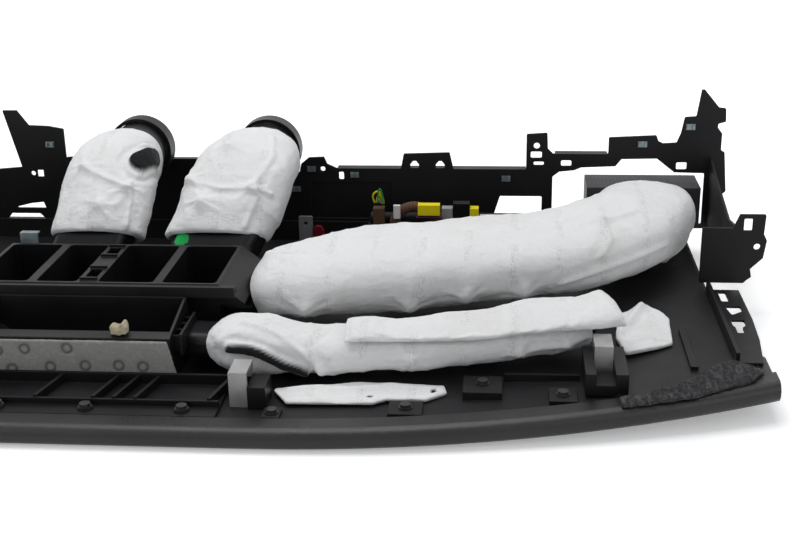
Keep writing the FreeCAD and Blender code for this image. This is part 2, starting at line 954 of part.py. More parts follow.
def swept(stations, grow=0.0, ends=0.0, straight=False):
    """Loft through stations (point, direction, half width, half height, corner).

    grow adds to every half width and height, ends lengthens both ends along the path,
    and a straight loft has flat-sided runs between its stations.
    """
    wires = []
    last = len(stations) - 1
    for i, (point, way, half_wide, half_tall, corner) in enumerate(stations):
        way = Vector(*way)
        way.normalize()
        centre = Vector(*point)
        if ends and i == 0:
            centre = centre - way * ends
        if ends and i == last:
            centre = centre + way * ends
        side = Vector(way.y, -way.x, 0)
        side.normalize()
        up = side.cross(way)
        wires.append(round_section(centre, side, up, half_wide + grow, half_tall + grow, max(corner + grow, 2)))
    return Part.makeLoft(wires, True, straight)


def big_duct_runs():
    """Passenger vent duct: neck under the manifold's wing, a step up, then the long run."""
    w = s.duct_half.value
    h = s.duct_tall.value
    z = 81.0
    x_start = s.vents_half.value + s.seat_gap.value
    x_wing = s.vents_half.value + s.wing_reach.value + 2
    end_y = s.mouth_near.value - s.seat_gap.value
    neck_end = ((x_wing, -47, 46), (1, 0, 0), w * 0.54, h * 0.58, 14)
    run_start = ((x_wing + 30, -45, 74), (1, 0.14, 0), w * 0.78, h * 0.86, 20)
    neck = [((x_start, -47, 46), (1, 0, 0), w * 0.54, h * 0.58, 14), neck_end]
    run = [
        run_start,
        ((236, -38, 79), (1, 0.22, 0), w * 0.92, h * 0.98, 26),
        ((300, -16, z), (1, 0.3, 0), w * 1.02, h, 28),
        ((420, 14, z), (1, 0.22, 0), w * 1.05, h, 28),
        ((520, 44, z), (1, 0.5, 0), w * 1.02, h * 0.98, 28),
        ((592, 98, z), (0.75, 1, 0), w * 0.98, h * 0.94, 28),
        ((633, 160, z), (0.22, 1, 0), w * 0.86, h * 0.86, 26),
        ((641, end_y, z), (0.0, 1, 0), w * 0.86, h * 0.74, 22),
    ]
    return [neck, [neck_end, run_start], run]


def big_pad_path():
    """The sleeve's run: it starts beside the manifold's wing, over the duct's step."""
    run = big_duct_runs()[2]
    start = ((s.vents_half.value + s.wing_reach.value + 10, -47, 73), (1, 0.1, 0), 44, 29, 20)
    return [start] + run[1:]


def small_duct_path():
    """Side-window defroster duct, low and in front of the passenger duct."""
    return [
        ((s.trough_half.value + 11 + s.seat_gap.value, -156, 49), (1, 0, 0), 25, 14, 10),
        ((222, -170, 50), (1, -0.06, 0), 26, 15, 11),
        ((320, -169, 51), (1, 0.04, 0), 27, 15, 11),
        ((400, -160, 52), (1, 0.16, 0), 27, 15, 11),
        ((470, -144, 54), (1, 0.26, 0), 26, 14, 10),
        ((548, -122, 59), (1, 0.3, 0), 23, 13, 10),
    ]


def small_pad_path():
    """The sleeve's run on that duct, clear of the trough."""
    path = small_duct_path()
    return [((144, -160, 49), (1, -0.12, 0), 26, 14, 10)] + path[1:]


def mirrored_path(path):
    return [((-p[0], p[1], p[2]), (-d[0], d[1], d[2]), w, h, c) for p, d, w, h, c in path]


def joined(runs, grow=0.0):
    """One solid from runs that meet end to end."""
    solids = [swept(run, grow, 0.0, True) for run in runs]
    return solids[0].fuse(solids[1:]) if len(solids) > 1 else solids[0]


def make_duct(node, runs):
    """A blow-moulded tube, open at both ends."""
    keep(node, shaped(node + "_form", joined(runs).cut(joined(runs, -s.duct_wall.value))))


def make_sleeve(node, path, wall, inset, runs):
    """A fleece sleeve round a duct, shorter than the duct at both ends."""
    outer = swept(path, wall, -inset)
    keep(node, shaped(node + "_form", outer.cut(joined(runs, s.loose_gap.value))))


def outlet_path(x_low, x_out, broad):
    """Centre outlet duct: out of the manifold's far wall and up to a round mouth."""
    r = s.outlet_radius.value
    z = s.outlet_rise.value
    y_out = s.outlet_reach.value
    y_low = s.vents_far.value + s.seat_gap.value
    x_mid = (x_low + x_out) / 2
    return [
        ((x_low, y_low, 60), (0, 1, 0), 42, 22, 12),
        ((x_low, y_low + 38, 70), (0, 0.7, 0.7), broad, 24, 14),
        ((x_mid, y_low + 74, 112), (0, 0.45, 0.9), broad, 26, 18),
        ((x_mid * 0.4 + x_out * 0.6, y_low + 122, z - 10), (0, 0.9, 0.45), broad * 0.9, 32, 26),
        ((x_out, y_out - 44, z), (0, 1, 0), r - 1, r - 1, r * 0.92),
        ((x_out, y_out, z), (0, 1, 0), r, r, r * 0.95),
    ]


def make_centre_outlet(side_name, x_low, x_out, broad):
    path = outlet_path(x_low, x_out, broad)
    make_duct("centre_duct_" + side_name, [path])
    reach = s.outlet_reach
    z = s.outlet_rise
    radius = s.outlet_radius
    ring = rod("collar_outer", x_out, reach - s.collar_deep + 6, z, radius + s.collar_wide, s.collar_deep, "y")
    hole = rod("collar_hole", x_out, reach - s.collar_deep - 4, z, radius + 2 * s.loose_gap, s.collar_deep + 20, "y")
    keep("outlet_collar_" + side_name, cut("collar_ring", ring, [hole]))
    make_sleeve("centre_pad_" + side_name, path[1:5], s.pad_wall.value, -2.0, [path])


def make_vent_mouth(node, left, right):
    """Rectangular mouth of an outer vent, flared towards the cabin."""
    wall = s.mouth_wall
    body = ring_box(
        node + "_sleeve", left, right, s.mouth_near, s.mouth_far, s.mouth_low, s.mouth_top, wall,
    )
    back = span_box(node + "_back", left, right, s.mouth_near, s.mouth_near + wall, s.mouth_low, s.mouth_top)
    middle = (left + right) / 2
    # throat that the duct runs into
    throat = span_box(
        node + "_throat", middle - s.duct_half * 0.82, middle + s.duct_half * 0.82, s.mouth_near - 3,
        s.mouth_near + wall + 3, s.mouth_low + 9, s.mouth_top - 9,
    )
    keep(node, cut(node + "_cut", fuse(node + "_solid", [body, back]), [throat]))


def slab(node, points, thick, low, rounds=4.0):
    keep(node, plate(node + "_sheet", "XY_Plane", points, thick, shift=(0, 0, low), rounds=rounds))


def make_fleece_flaps():
    low = seat(400)
    slab(
        "flap_lower",
        [(218, -228), (300, -214), (396, -216), (400, -232), (380, -246), (340, -246), (326, -254), (238, -256)],
        3, low,
    )
    slab("flap_right", [(580, -100), (588, -34), (624, -4), (638, -30), (644, -50), (640, -116), (622, -128), (586, -146)], 5, seat(650))
    # fuzzy felt draped over the lip at the right corner
    lip_top = 2 * s.lip_radius.value + s.seat_gap.value
    drape = crowned_sheet(lip_top, s.corner_felt_wall.value, -300, -140, s.ear_half.value)
    outline = [
        (571, -250), (573, -271), (640, -256), (705, -224), (722, -200), (696, -171), (672, -184), (636, -222),
        (598, -242),
    ]
    plan = plate("felt_plan", "XY_Plane", outline, 80, rounds=3.0)
    keep("felt_corner", common("felt_drape", shaped("felt_crown", drape), plan))
    # flat fleece strip that lies along the top of the small duct's sleeve
    half = 4.0
    lift = 15 + s.pad_wall.value * 0.78 + half + s.seat_gap.value
    strip = [((p[0], p[1] + 6, p[2] + lift), d, 22, half, 3.5) for p, d, w, h, c in small_duct_path()[2:]]
    first = strip[0]
    strip.insert(0, ((288, first[0][1], first[0][2]), first[1], 20, half, 3.5))
    keep("strip_pad", shaped("strip_form", swept(strip)))


# Ends of the panel

def make_side_panel(node, side):
    """Slotted end flange outside the ridge, standing off the floor."""
    inner = s.side_inner
    outer = s.side_outer
    near = s.side_near
    far = s.side_far
    low = s.skin_wall + rise(s.ear_half) + s.seat_gap
    wall = s.side_wall

    def flip(points):
        return points if side > 0 else [(-x, y) for x, y in points]

    outline = [
        (inner, near), (outer - 10, near), (outer - 3, near + 60), (outer, near + 120), (outer, far), (inner, far)
    ]
    loops = [
        flip(oblong(711, 720, 6, 44 - 6)),
        flip([(716, -36), (730, -24), (730, -8), (712, -8)]),
        flip([(714, -88), (722, -88), (722, -72), (727, -66), (727, -50), (712, -50), (712, -66), (714, -72)]),
    ]
    base = plate(node + "_plate", "XY_Plane", flip(outline), wall, loops, shift=(0, 0, low), rounds=2.0)
    x0, x1 = (inner, inner + 4) if side > 0 else (-inner - 4, -inner)
    ridge = span_box(node + "_ridge", x0, x1, near, far, low, low + s.ridge_high)
    keep(node, fuse(node + "_solid", [base, ridge]))


def make_end_bracket(node, side):
    """Upright bracket across the end: slot, bolt hole and ears, with its side wall."""
    y = s.end_plate_y + s.face_wall
    left = s.end_plate_left
    right = s.end_plate_right
    low = s.end_plate_low
    top = s.end_plate_top
    outline = [
        (left, low),
        (right - 24, low),
        (right - 20, low + 4),
        (right - 15, low + 8),
        (right - 17, low + 18),
        (right - 3, low + 32),
        (right, low + 54),
        (right - 4, low + 62),
        (right - 3, top),
        (right - 33, top),
        (right - 40, top - 17),
        (left, top - 17),
    ]
    slot = oblong(right - 28, right - 18, top - 20, top - 5)
    if side < 0:
        outline = [(-x, z) for x, z in outline]
        slot = [(-x, z) for x, z in slot]
    hole = (side * (right - 11), low + 46, 4.0)
    face = plate(node + "_plate", "XZ_Plane", outline, s.face_wall, [slot], [hole], shift=(0, y, 0), rounds=1.5)
    x = side * s.end_wall_x
    x0, x1 = (x - s.side_wall, x) if side > 0 else (x, x + s.side_wall)
    back = s.face_reach - s.face_wall - s.seat_gap
    wall_points = [(y - 1, low), (back, low), (back, low + 96), (back - 40, low + 84), (y + 60, top - 26), (y - 1, top - 17)]
    wall = plate(node + "_wall", "YZ_Plane", wall_points, s.side_wall, shift=(x0, 0, 0), rounds=4.0)
    ear0, ear1 = (x1 - 1, side * right - 4) if side > 0 else (side * right + 4, x0 + 1)
    ear = span_box(node + "_ear", ear0, ear1, y - 1, y + 14, low + 32, low + 35)
    keep(node, fuse(node + "_solid", [face, wall, ear]))


# Steel straps, blocks and small fixings

def make_strap(node, x0, y0, top_deep):
    """Bent steel strap: foot, riser and flat top, in one piece."""
    t = s.strap_wall
    low = seat(x0.value + s.strap_wide.value)
    top = low + s.strap_high
    far = y0 + top_deep
    profile = [
        (y0, low), (y0 + t, low), (y0 + t, top - t), (far - t, top - t), (far - t, top - 18),
        (far, top - 18), (far, top), (y0, top),
    ]
    strap = plate(node + "_strip", "YZ_Plane", profile, s.strap_wide, shift=(x0, 0, 0))
    keep(node, strap)


def make_block(node, x0, x1, y0, y1, slot0, slot1):
    """Black bracket whose two cheeks stand beside a strap, joined by a foot in front of it."""
    low = seat(max(abs(x0), abs(x1)))
    gap = s.seat_gap
    parts = []
    if slot0 - gap.value > x0:
        parts.append(span_box(node + "_cheek", x0, slot0 - gap, y0, y1, low, low + s.block_high))
    if x1 > slot1 + gap.value:
        parts.append(span_box(node + "_cheek", slot1 + gap, x1, y0, y1, low, low + s.block_high))
    if len(parts) > 1:
        parts.append(span_box(node + "_foot", x0, x1, y0, y0 + 30, low, low + s.block_foot))
    keep(node, fuse(node + "_solid", parts) if len(parts) > 1 else parts[0])


def screw(x, y, z):
    """Washer-headed screw, its head down on the seat."""
    washer = rod("washer", x, y, z, s.screw_head + 1.5, 1)
    head = rod("head", x, y, z + 0.9, s.screw_head, s.screw_high)
    return fuse("screw", [washer, head])


def make_screws():
    spots = []
    for x, wide, long in MOUNT_PADS:
        spots.append((x, pad_near(x, wide) + long / 2, pad_top(x) + s.seat_gap))
    for x in NOZZLE_SCREWS:
        spots.append((x, s.nozzle_near + 12, seat(s.nozzle_half) + s.nozzle_thick + 2 + s.seat_gap))
    spots.append((436, BOSS_FAR - 18, deck(456) + s.boss_high + s.seat_gap))
    keep("panel_screws", group("screw_set", [screw(x, y, z) for x, y, z in spots]))


def spring_clip(x, y, z):
    """U-shaped spring nut: a bent strip with its barbs, on the near side of the frame."""
    w = s.clip_wide
    base = span_box("clip_base", x - w / 2, x + w / 2, y - 0.8, y, z, z + s.clip_high)
    arms = [
        span_box("clip_arm", x - w / 2 + 1, x - w / 2 + 3.4, y - s.clip_deep, y, z + 1, z + s.clip_high - 1),
        span_box("clip_arm", x + w / 2 - 3.4, x + w / 2 - 1, y - s.clip_deep, y, z + 1, z + s.clip_high - 1),
    ]
    return fuse("spring_clip", [base] + arms)


def make_clips():
    y = s.face_reach - s.face_wall - s.seat_gap
    spots = [(190, s.rail_top - 5), (250, s.rail_top - 13), (168, 88), (458, 105), (640, s.bar_top + 10)]
    spots += [(702, s.bar_top + 34), (-177, 150)]
    keep("spring_clips", group("clip_set", [spring_clip(as_size(x), y, z) for x, z in spots]))


def make_small_parts():
    # grey tag with its hole, standing on the deck behind the right centre duct
    keep(
        "hinge_tag",
        plate(
            "tag_plate", "XZ_Plane", oblong(180, 199, seat(200), 73), 2.5, (), [(189.5, 63, 2.6)],
            shift=(0, 208, 0), rounds=2.0,
        ),
    )
    # red lever beside the tag
    lever = [(200, seat(214)), (214, seat(214)), (214, 54), (210, 60), (203, 60), (200, 57)]
    keep("red_lever", plate("lever_plate", "XZ_Plane", lever, 5, shift=(0, 208, 0)))
    # steel clip on the far wall of the manifold
    y = s.vents_far + s.seat_gap
    clip = [
        span_box("rear_clip_base", -132, -110, y, y + 2, 62, 96 + 12),
        span_box("rear_clip_top", -132, -110, y, y + 9, 96 + 10, 96 + 12),
    ]
    keep("rear_clip", fuse("rear_clip_solid", clip))


def make_wiring():
    """Harness on its tray behind the passenger duct: trunk, taped arch and connectors."""
    near = s.tray_near
    far = s.tray_far
    left = s.tray_left
    right = s.tray_right
    wall = s.tray_wall
    top = s.tray_top
    foot = seat(488)
    tray = [
        span_box("tray_top", left, right, near, far, top - wall, top),
        span_box("tray_leg", left, left + wall, near, far, foot, top),
        span_box("tray_leg", right - wall, right, near, far, foot, top),
        span_box("tray_leg", 378, 378 + wall, near, far, foot, top),
    ]
    keep("harness_tray", fuse("tray_solid", tray))
    low = top + s.seat_gap
    r = s.trunk_radius
    keep("harness_trunk", rod("trunk", left + 4, far - 2 - r, low + r, r, right - left - 8, "x"))
    tube = s.arch_tube.value
    arch_y = s.tray_far.value - 2 - 2 * r.value - 1 - tube
    centre = Vector(336, arch_y, low.value)
    ring = Part.makeTorus(s.arch_radius.value, tube, centre, Vector(0, 1, 0))
    upper = Part.makeBox(120, 60, 60, Vector(centre.x - 60, arch_y - 30, low.value))
    keep("taped_arch", shaped("arch_form", ring.common(upper)))
    y1 = arch_y - tube - s.seat_gap
    keep("yellow_connector", span_box("yellow_body", 342, 371, y1 - 13, y1, low + 21, low + 35))
    keep("white_clip", span_box("white_body", 309, 318, y1 - 6, y1, low + 14, low + 32))
    rows = [
        ("brown_connector", 281, 296, 26),
        ("grey_plug", 373, 387.5, 27),
        ("black_connector", 388, 410, 34),
        ("small_connector", 410.5, 422, 27),
    ]
    for node, x0, x1, high in rows:
        keep(node, span_box(node + "_body", x0, x1, arch_y - 8, arch_y + 6, low, low + high))
    keep("module_strip", span_box("strip_body", 424, 478, arch_y - 8, arch_y - 6, low, low + 19))


def make_foam_plug():
    """Torn chunk of foam that sits on the near rim of the trough."""
    y0 = s.trough_near + 1
    low = s.trough_near_top + s.seat_gap + 1.3
    points = [(46, low), (63, low), (65, low + 5), (60, low + 13), (55, low + 8), (47, low + 9)]
    keep("foam_plug", plate("foam", "XZ_Plane", points, 12, shift=(0, y0 + 12, 0), rounds=1.2))


def check_and_write():
    doc.recompute()
    problems = []
    for thing in doc.Objects:
        if "Invalid" in thing.State or "Error" in thing.State:
            problems.append("%s (%s) did not build" % (thing.Name, thing.Label))
    for node, thing in pieces.items():
        if thing.Shape.isNull() or not thing.Shape.isValid() or not thing.Shape.Solids:
            problems.append(node + " has no valid solid")
    if problems:
        raise RuntimeError("; ".join(problems))
    os.makedirs("parts", exist_ok=True)
    for node, thing in pieces.items():
        thing.Shape.exportStep("parts/%s.step" % node)
    for node, thing in pieces.items():
        box = thing.Shape.BoundBox
        print("%-24s %2d solid  x %7.1f %7.1f  y %7.1f %7.1f  z %6.1f %6.1f" % (
            node, len(thing.Shape.Solids), box.XMin, box.XMax, box.YMin, box.YMax, box.ZMin, box.ZMax))


make_skin_piece()
make_carrier()
make_face_frame()
make_cluster_frame()
make_cluster_bezel()
make_vent_manifold()
make_trough()
make_nozzle()
make_felt()
make_centre_outlet("left", -60.0, s.left_outlet.value, 46)
make_centre_outlet("right", 96.0, s.right_outlet.value, 54)
make_duct("passenger_duct", big_duct_runs())
make_sleeve("passenger_pad", big_pad_path(), s.pad_wall.value, 2.0, big_duct_runs())
driver_runs = [mirrored_path(run) for run in big_duct_runs()]
make_duct("driver_duct", driver_runs)
make_sleeve("driver_pad", mirrored_path(big_pad_path()), s.pad_wall.value, 2.0, driver_runs)
make_duct("side_defroster_duct", [small_duct_path()])
make_sleeve("defroster_pad", small_pad_path(), s.pad_wall.value * 0.78, 2.0, [small_duct_path()])
make_vent_mouth("passenger_vent_mouth", s.mouth_left, s.mouth_right)
make_vent_mouth("driver_vent_mouth", -s.mouth_right, -s.mouth_left)
make_fleece_flaps()
make_side_panel("side_panel_right", 1)
make_side_panel("side_panel_left", -1)
make_end_bracket("end_bracket_right", 1)
make_end_bracket("end_bracket_left", -1)
make_strap("airbag_strap_left", s.strap_left_x, s.strap_left_y, s.strap_top_deep)
make_strap("airbag_strap_right", s.strap_right_x, s.strap_right_y, s.strap_top_deep)
make_block("strap_block_left", 181, 219, -262, -228, 181, 200)
make_block("strap_block_right", 539, 582, -237, -166, 550, 569)
make_foam_plug()
make_screws()
make_clips()
make_small_parts()
make_wiring()
check_and_write()
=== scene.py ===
import json
import math

import bpy
import numpy as np
from mathutils import Matrix, Vector, noise


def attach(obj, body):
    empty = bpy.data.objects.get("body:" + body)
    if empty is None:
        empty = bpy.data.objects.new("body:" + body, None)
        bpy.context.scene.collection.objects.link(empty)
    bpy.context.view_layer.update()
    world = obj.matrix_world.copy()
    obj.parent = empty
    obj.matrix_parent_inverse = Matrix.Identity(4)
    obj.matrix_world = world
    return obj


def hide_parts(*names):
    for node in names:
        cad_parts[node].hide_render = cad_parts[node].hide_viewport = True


# Looks of a car's upper dashboard that lies upside-down on its padded top.
# Metres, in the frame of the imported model: X along the car's width, Y from the
# windscreen lip to the cabin face, Z up from the floor.

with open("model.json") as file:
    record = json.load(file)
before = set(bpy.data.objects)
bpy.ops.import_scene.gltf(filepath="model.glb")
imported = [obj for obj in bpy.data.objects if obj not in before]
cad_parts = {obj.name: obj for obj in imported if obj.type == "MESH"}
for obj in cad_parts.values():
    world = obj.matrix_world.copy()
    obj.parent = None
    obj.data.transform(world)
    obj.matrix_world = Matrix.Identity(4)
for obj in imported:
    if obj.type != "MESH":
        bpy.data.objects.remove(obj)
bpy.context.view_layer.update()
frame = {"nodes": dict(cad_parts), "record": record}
nodes = frame["nodes"]
MM = 0.001


# Materials

class Graph:
    """A node material that is built up call by call."""

    def __init__(self, name):
        self.material = bpy.data.materials.new(name)
        self.material.use_nodes = True
        self.tree = self.material.node_tree
        self.shader = self.tree.nodes["Principled BSDF"]
        self.coords = self.add("ShaderNodeTexCoord").outputs["Object"]

    def add(self, kind, **values):
        node = self.tree.nodes.new(kind)
        for key, value in values.items():
            setattr(node, key, value)
        return node

    def link(self, source, target):
        self.tree.links.new(source, target)

    def set(self, **values):
        for key, value in values.items():
            self.shader.inputs[key.replace("_", " ")].default_value = value

    def noise(self, scale, detail=2.0, rough=0.5, stretch=None):
        source = self.coords
        if stretch:
            mapping = self.add("ShaderNodeMapping")
            mapping.inputs["Scale"].default_value = stretch
            self.link(source, mapping.inputs["Vector"])
            source = mapping.outputs["Vector"]
        node = self.add("ShaderNodeTexNoise")
        node.inputs["Scale"].default_value = scale
        node.inputs["Detail"].default_value = detail
        node.inputs["Roughness"].default_value = rough
        self.link(source, node.inputs["Vector"])
        return node.outputs["Fac"]

    def voronoi(self, scale, feature="F1"):
        node = self.add("ShaderNodeTexVoronoi", feature=feature)
        node.inputs["Scale"].default_value = scale
        self.link(self.coords, node.inputs["Vector"])
        return node.outputs["Distance"]

    def ramp(self, source, low, high, a=0.0, b=1.0):
        node = self.add("ShaderNodeMapRange")
        node.inputs["From Min"].default_value = low
        node.inputs["From Max"].default_value = high
        node.inputs["To Min"].default_value = a
        node.inputs["To Max"].default_value = b
        self.link(source, node.inputs["Value"])
        return node.outputs["Result"]

    def math(self, operation, a, b):
        node = self.add("ShaderNodeMath", operation=operation)
        for socket, value in zip(node.inputs, (a, b)):
            if isinstance(value, (int, float)):
                socket.default_value = value
            else:
                self.link(value, socket)
        return node.outputs["Value"]

    def mix(self, factor, a, b):
        node = self.add("ShaderNodeMix", data_type="RGBA")
        for socket, value in ((node.inputs[0], factor), (node.inputs[6], a), (node.inputs[7], b)):
            if isinstance(value, (int, float)):
                socket.default_value = value
            elif isinstance(value, (tuple, list)):
                socket.default_value = (*value, 1.0)
            else:
                self.link(value, socket)
        return node.outputs[2]

    def bump(self, height, distance, strength=1.0, normal=None):
        node = self.add("ShaderNodeBump")
        node.inputs["Strength"].default_value = strength
        node.inputs["Distance"].default_value = distance
        self.link(height, node.inputs["Height"])
        if normal is not None:
            self.link(normal, node.inputs["Normal"])
        return node.outputs["Normal"]

    def upward(self):
        """How far a surface faces up, from 0 to 1."""
        geometry = self.add("ShaderNodeNewGeometry")
        split = self.add("ShaderNodeSeparateXYZ")
        self.link(geometry.outputs["Normal"], split.inputs["Vector"])
        return self.ramp(split.outputs["Z"], 0.1, 0.95)

    def finish(self, color=None, rough=None, normal=None):
        for name, source in (("Base Color", color), ("Roughness", rough), ("Normal", normal)):
            if source is not None:
                self.link(source, self.shader.inputs[name])
        return self.material


def plastic(
    name, tone, rough=0.42, dust=0.12, grain=1400, depth=0.06, scuff=0.25, edge=1.1, mark=None, ribbed=False,
):
    """Moulded plastic: fine grain, dust on what faces up, light scuffs, and rounded edges.

    A mark is a painted spot: its place in mm, its radius and its colour.
    """
    g = Graph(name)
    rounded = g.add("ShaderNodeBevel", samples=4)
    rounded.inputs["Radius"].default_value = edge * MM
    patches = g.ramp(g.noise(9, 4, 0.6), 0.38, 0.72)
    fine = g.ramp(g.noise(160, 3, 0.7), 0.45, 0.8)
    settled = g.math("MULTIPLY", g.math("MULTIPLY", patches, g.upward()), dust)
    lighter = [min(1.0, c * 1.9 + 0.022) for c in tone]
    marks = g.math("MULTIPLY", g.ramp(g.noise(55, 6, 0.75, (1, 1, 3)), 0.62, 0.78), scuff)
    amount = g.math("MAXIMUM", settled, g.math("MULTIPLY", marks, fine))
    color = g.mix(amount, tone, lighter)
    if mark:
        place_at, radius, paint_tone = mark
        away = g.add("ShaderNodeVectorMath", operation="DISTANCE")
        away.inputs[1].default_value = [c * MM for c in place_at]
        g.link(g.coords, away.inputs[0])
        wander = g.ramp(g.noise(160, 3), 0.2, 0.8, -2.5 * MM, 2.5 * MM)
        ragged = g.math("ADD", away.outputs["Value"], wander)
        covered = g.ramp(ragged, (radius - 0.6) * MM, (radius + 0.6) * MM, 1.0, 0.0)
        color = g.mix(covered, color, paint_tone)
    base_rough = g.ramp(g.noise(14, 3), 0.3, 0.7, rough - 0.07, rough + 0.09)
    roughness = g.math("ADD", base_rough, g.math("MULTIPLY", amount, 0.5))
    skin = g.bump(g.noise(grain, 2, 0.6), depth * MM, 0.6, rounded.outputs["Normal"])
    wavy = g.bump(g.noise(22, 2), 0.5 * MM, 0.25, skin)
    g.set(Specular_IOR_Level=0.17)
    if ribbed:
        ribs = g.add("ShaderNodeTexWave", bands_direction="X")
        ribs.inputs["Scale"].default_value = 62
        g.link(g.coords, ribs.inputs["Vector"])
        wavy = g.bump(g.math("MULTIPLY", ribs.outputs["Fac"], g.upward()), 0.8 * MM, 0.7, wavy)
    return g.finish(color, roughness, wavy)


def steel(name, tone, rough, rust, metallic=0.85):
    """Plated sheet steel: cloudy plating, fine scratches, spots of rust."""
    g = Graph(name)
    cloud = g.ramp(g.noise(45, 5, 0.65), 0.3, 0.75)
    color = g.mix(cloud, [c * 0.78 for c in tone], [min(1, c * 1.15) for c in tone])
    spots = g.math("MULTIPLY", g.ramp(g.noise(90, 6, 0.8), 0.5, 0.62), rust)
    color = g.mix(spots, color, (0.16, 0.085, 0.045))
    scratch = g.noise(900, 2, 0.5, (0.15, 1, 1))
    normal = g.bump(scratch, 0.03 * MM, 0.6)
    g.set(Metallic=metallic)
    return g.finish(color, g.ramp(g.noise(70, 4), 0.3, 0.7, rough - 0.08, rough + 0.14), normal)


def fleece(name):
    """Soft white fleece: short fibres, columns of faint grey specks, slight soiling."""
    g = Graph(name)
    soil = g.math("MULTIPLY", g.ramp(g.noise(11, 5, 0.7), 0.5, 0.8), 0.35)
    color = g.mix(soil, (0.77, 0.77, 0.77), (0.56, 0.52, 0.45))
    blotch = g.math("MULTIPLY", g.ramp(g.noise(210, 4, 0.8), 0.4, 0.75), 0.16)
    color = g.mix(blotch, color, (0.5, 0.5, 0.5))
    split = g.add("ShaderNodeSeparateXYZ")
    g.link(g.coords, split.inputs["Vector"])
    across = g.math("PINGPONG", split.outputs["X"], 0.026)
    column = g.ramp(across, 0.0035, 0.0055, 1.0, 0.0)
    breaks = g.ramp(g.noise(34, 2, 0.5), 0.46, 0.52)
    specks = g.ramp(g.noise(520, 2, 0.6, (1, 1, 0.35)), 0.5, 0.58)
    marks = g.math("MULTIPLY", g.math("MULTIPLY", column, breaks), g.math("MULTIPLY", specks, 0.3))
    color = g.mix(marks, color, (0.33, 0.33, 0.34))
    opened = g.add("ShaderNodeAttribute", attribute_name="opened")
    color = g.mix(opened.outputs["Fac"], color, (0.006, 0.006, 0.007))
    fibre = g.noise(2600, 3, 0.7)
    soft = g.noise(420, 4, 0.65)
    normal = g.bump(fibre, 0.12 * MM, 0.55)
    normal = g.bump(soft, 0.7 * MM, 0.5, normal)
    normal = g.bump(g.noise(75, 4, 0.65), 2.2 * MM, 0.4, normal)
    creased = g.ramp(g.noise(38, 5, 0.55, (1, 1, 2.2)), 0.44, 0.52)
    normal = g.bump(creased, 0.9 * MM, 0.35, normal)
    g.set(Roughness=0.95, Sheen_Weight=0.15, Sheen_Roughness=0.5, Specular_IOR_Level=0.15)
    return g.finish(color, None, normal)


def felt(name, tone, streak=0.5, depth=0.8, fleck=(0.25, 0.25, 0.25)):
    """Pressed felt: matted fibres that run in all directions."""
    g = Graph(name)
    matted = g.noise(700, 4, 0.8, (1, 1, 1))
    threads = g.noise(260, 5, 0.85, (1, 0.25, 1))
    amount = g.math("MULTIPLY", g.ramp(threads, 0.48, 0.75), streak)
    color = g.mix(amount, tone, fleck)
    pressed = g.add("ShaderNodeAttribute", attribute_name="opened")
    color = g.mix(pressed.outputs["Fac"], color, (0.03, 0.03, 0.03))
    normal = g.bump(matted, depth * 0.4 * MM, 0.8)
    normal = g.bump(threads, depth * MM, 0.7, normal)
    g.set(Roughness=1.0, Sheen_Weight=0.15, Specular_IOR_Level=0.15)
    return g.finish(color, None, normal)


def tape(name, tone):
    """Cloth harness tape, wound at a slant."""
    g = Graph(name)
    wave = g.add("ShaderNodeTexWave")
    wave.inputs["Scale"].default_value = 70
    wave.inputs["Distortion"].default_value = 1.5
    g.link(g.coords, wave.inputs["Vector"])
    color = g.mix(g.ramp(wave.outputs["Fac"], 0.0, 1.0, 0.0, 0.5), tone, [c * 0.5 for c in tone])
    normal = g.bump(wave.outputs["Fac"], 0.4 * MM, 0.6, g.bump(g.noise(900, 3), 0.1 * MM, 0.6))
    g.set(Roughness=0.8, Specular_IOR_Level=0.3)
    return g.finish(color, None, normal)


def skin_material():
    """Soft grained covering, slightly glossy."""
    g = Graph("soft_skin")
    cells = g.voronoi(900, "DISTANCE_TO_EDGE")
    tone = g.mix(g.ramp(g.noise(12, 4), 0.35, 0.7), (0.006, 0.006, 0.0065), (0.010, 0.010, 0.011))
    normal = g.bump(g.ramp(cells, 0.0, 0.25), 0.12 * MM, 0.5)
    g.set(Specular_IOR_Level=0.35)
    return g.finish(tone, g.ramp(g.noise(25, 3), 0.3, 0.7, 0.26, 0.36), normal)


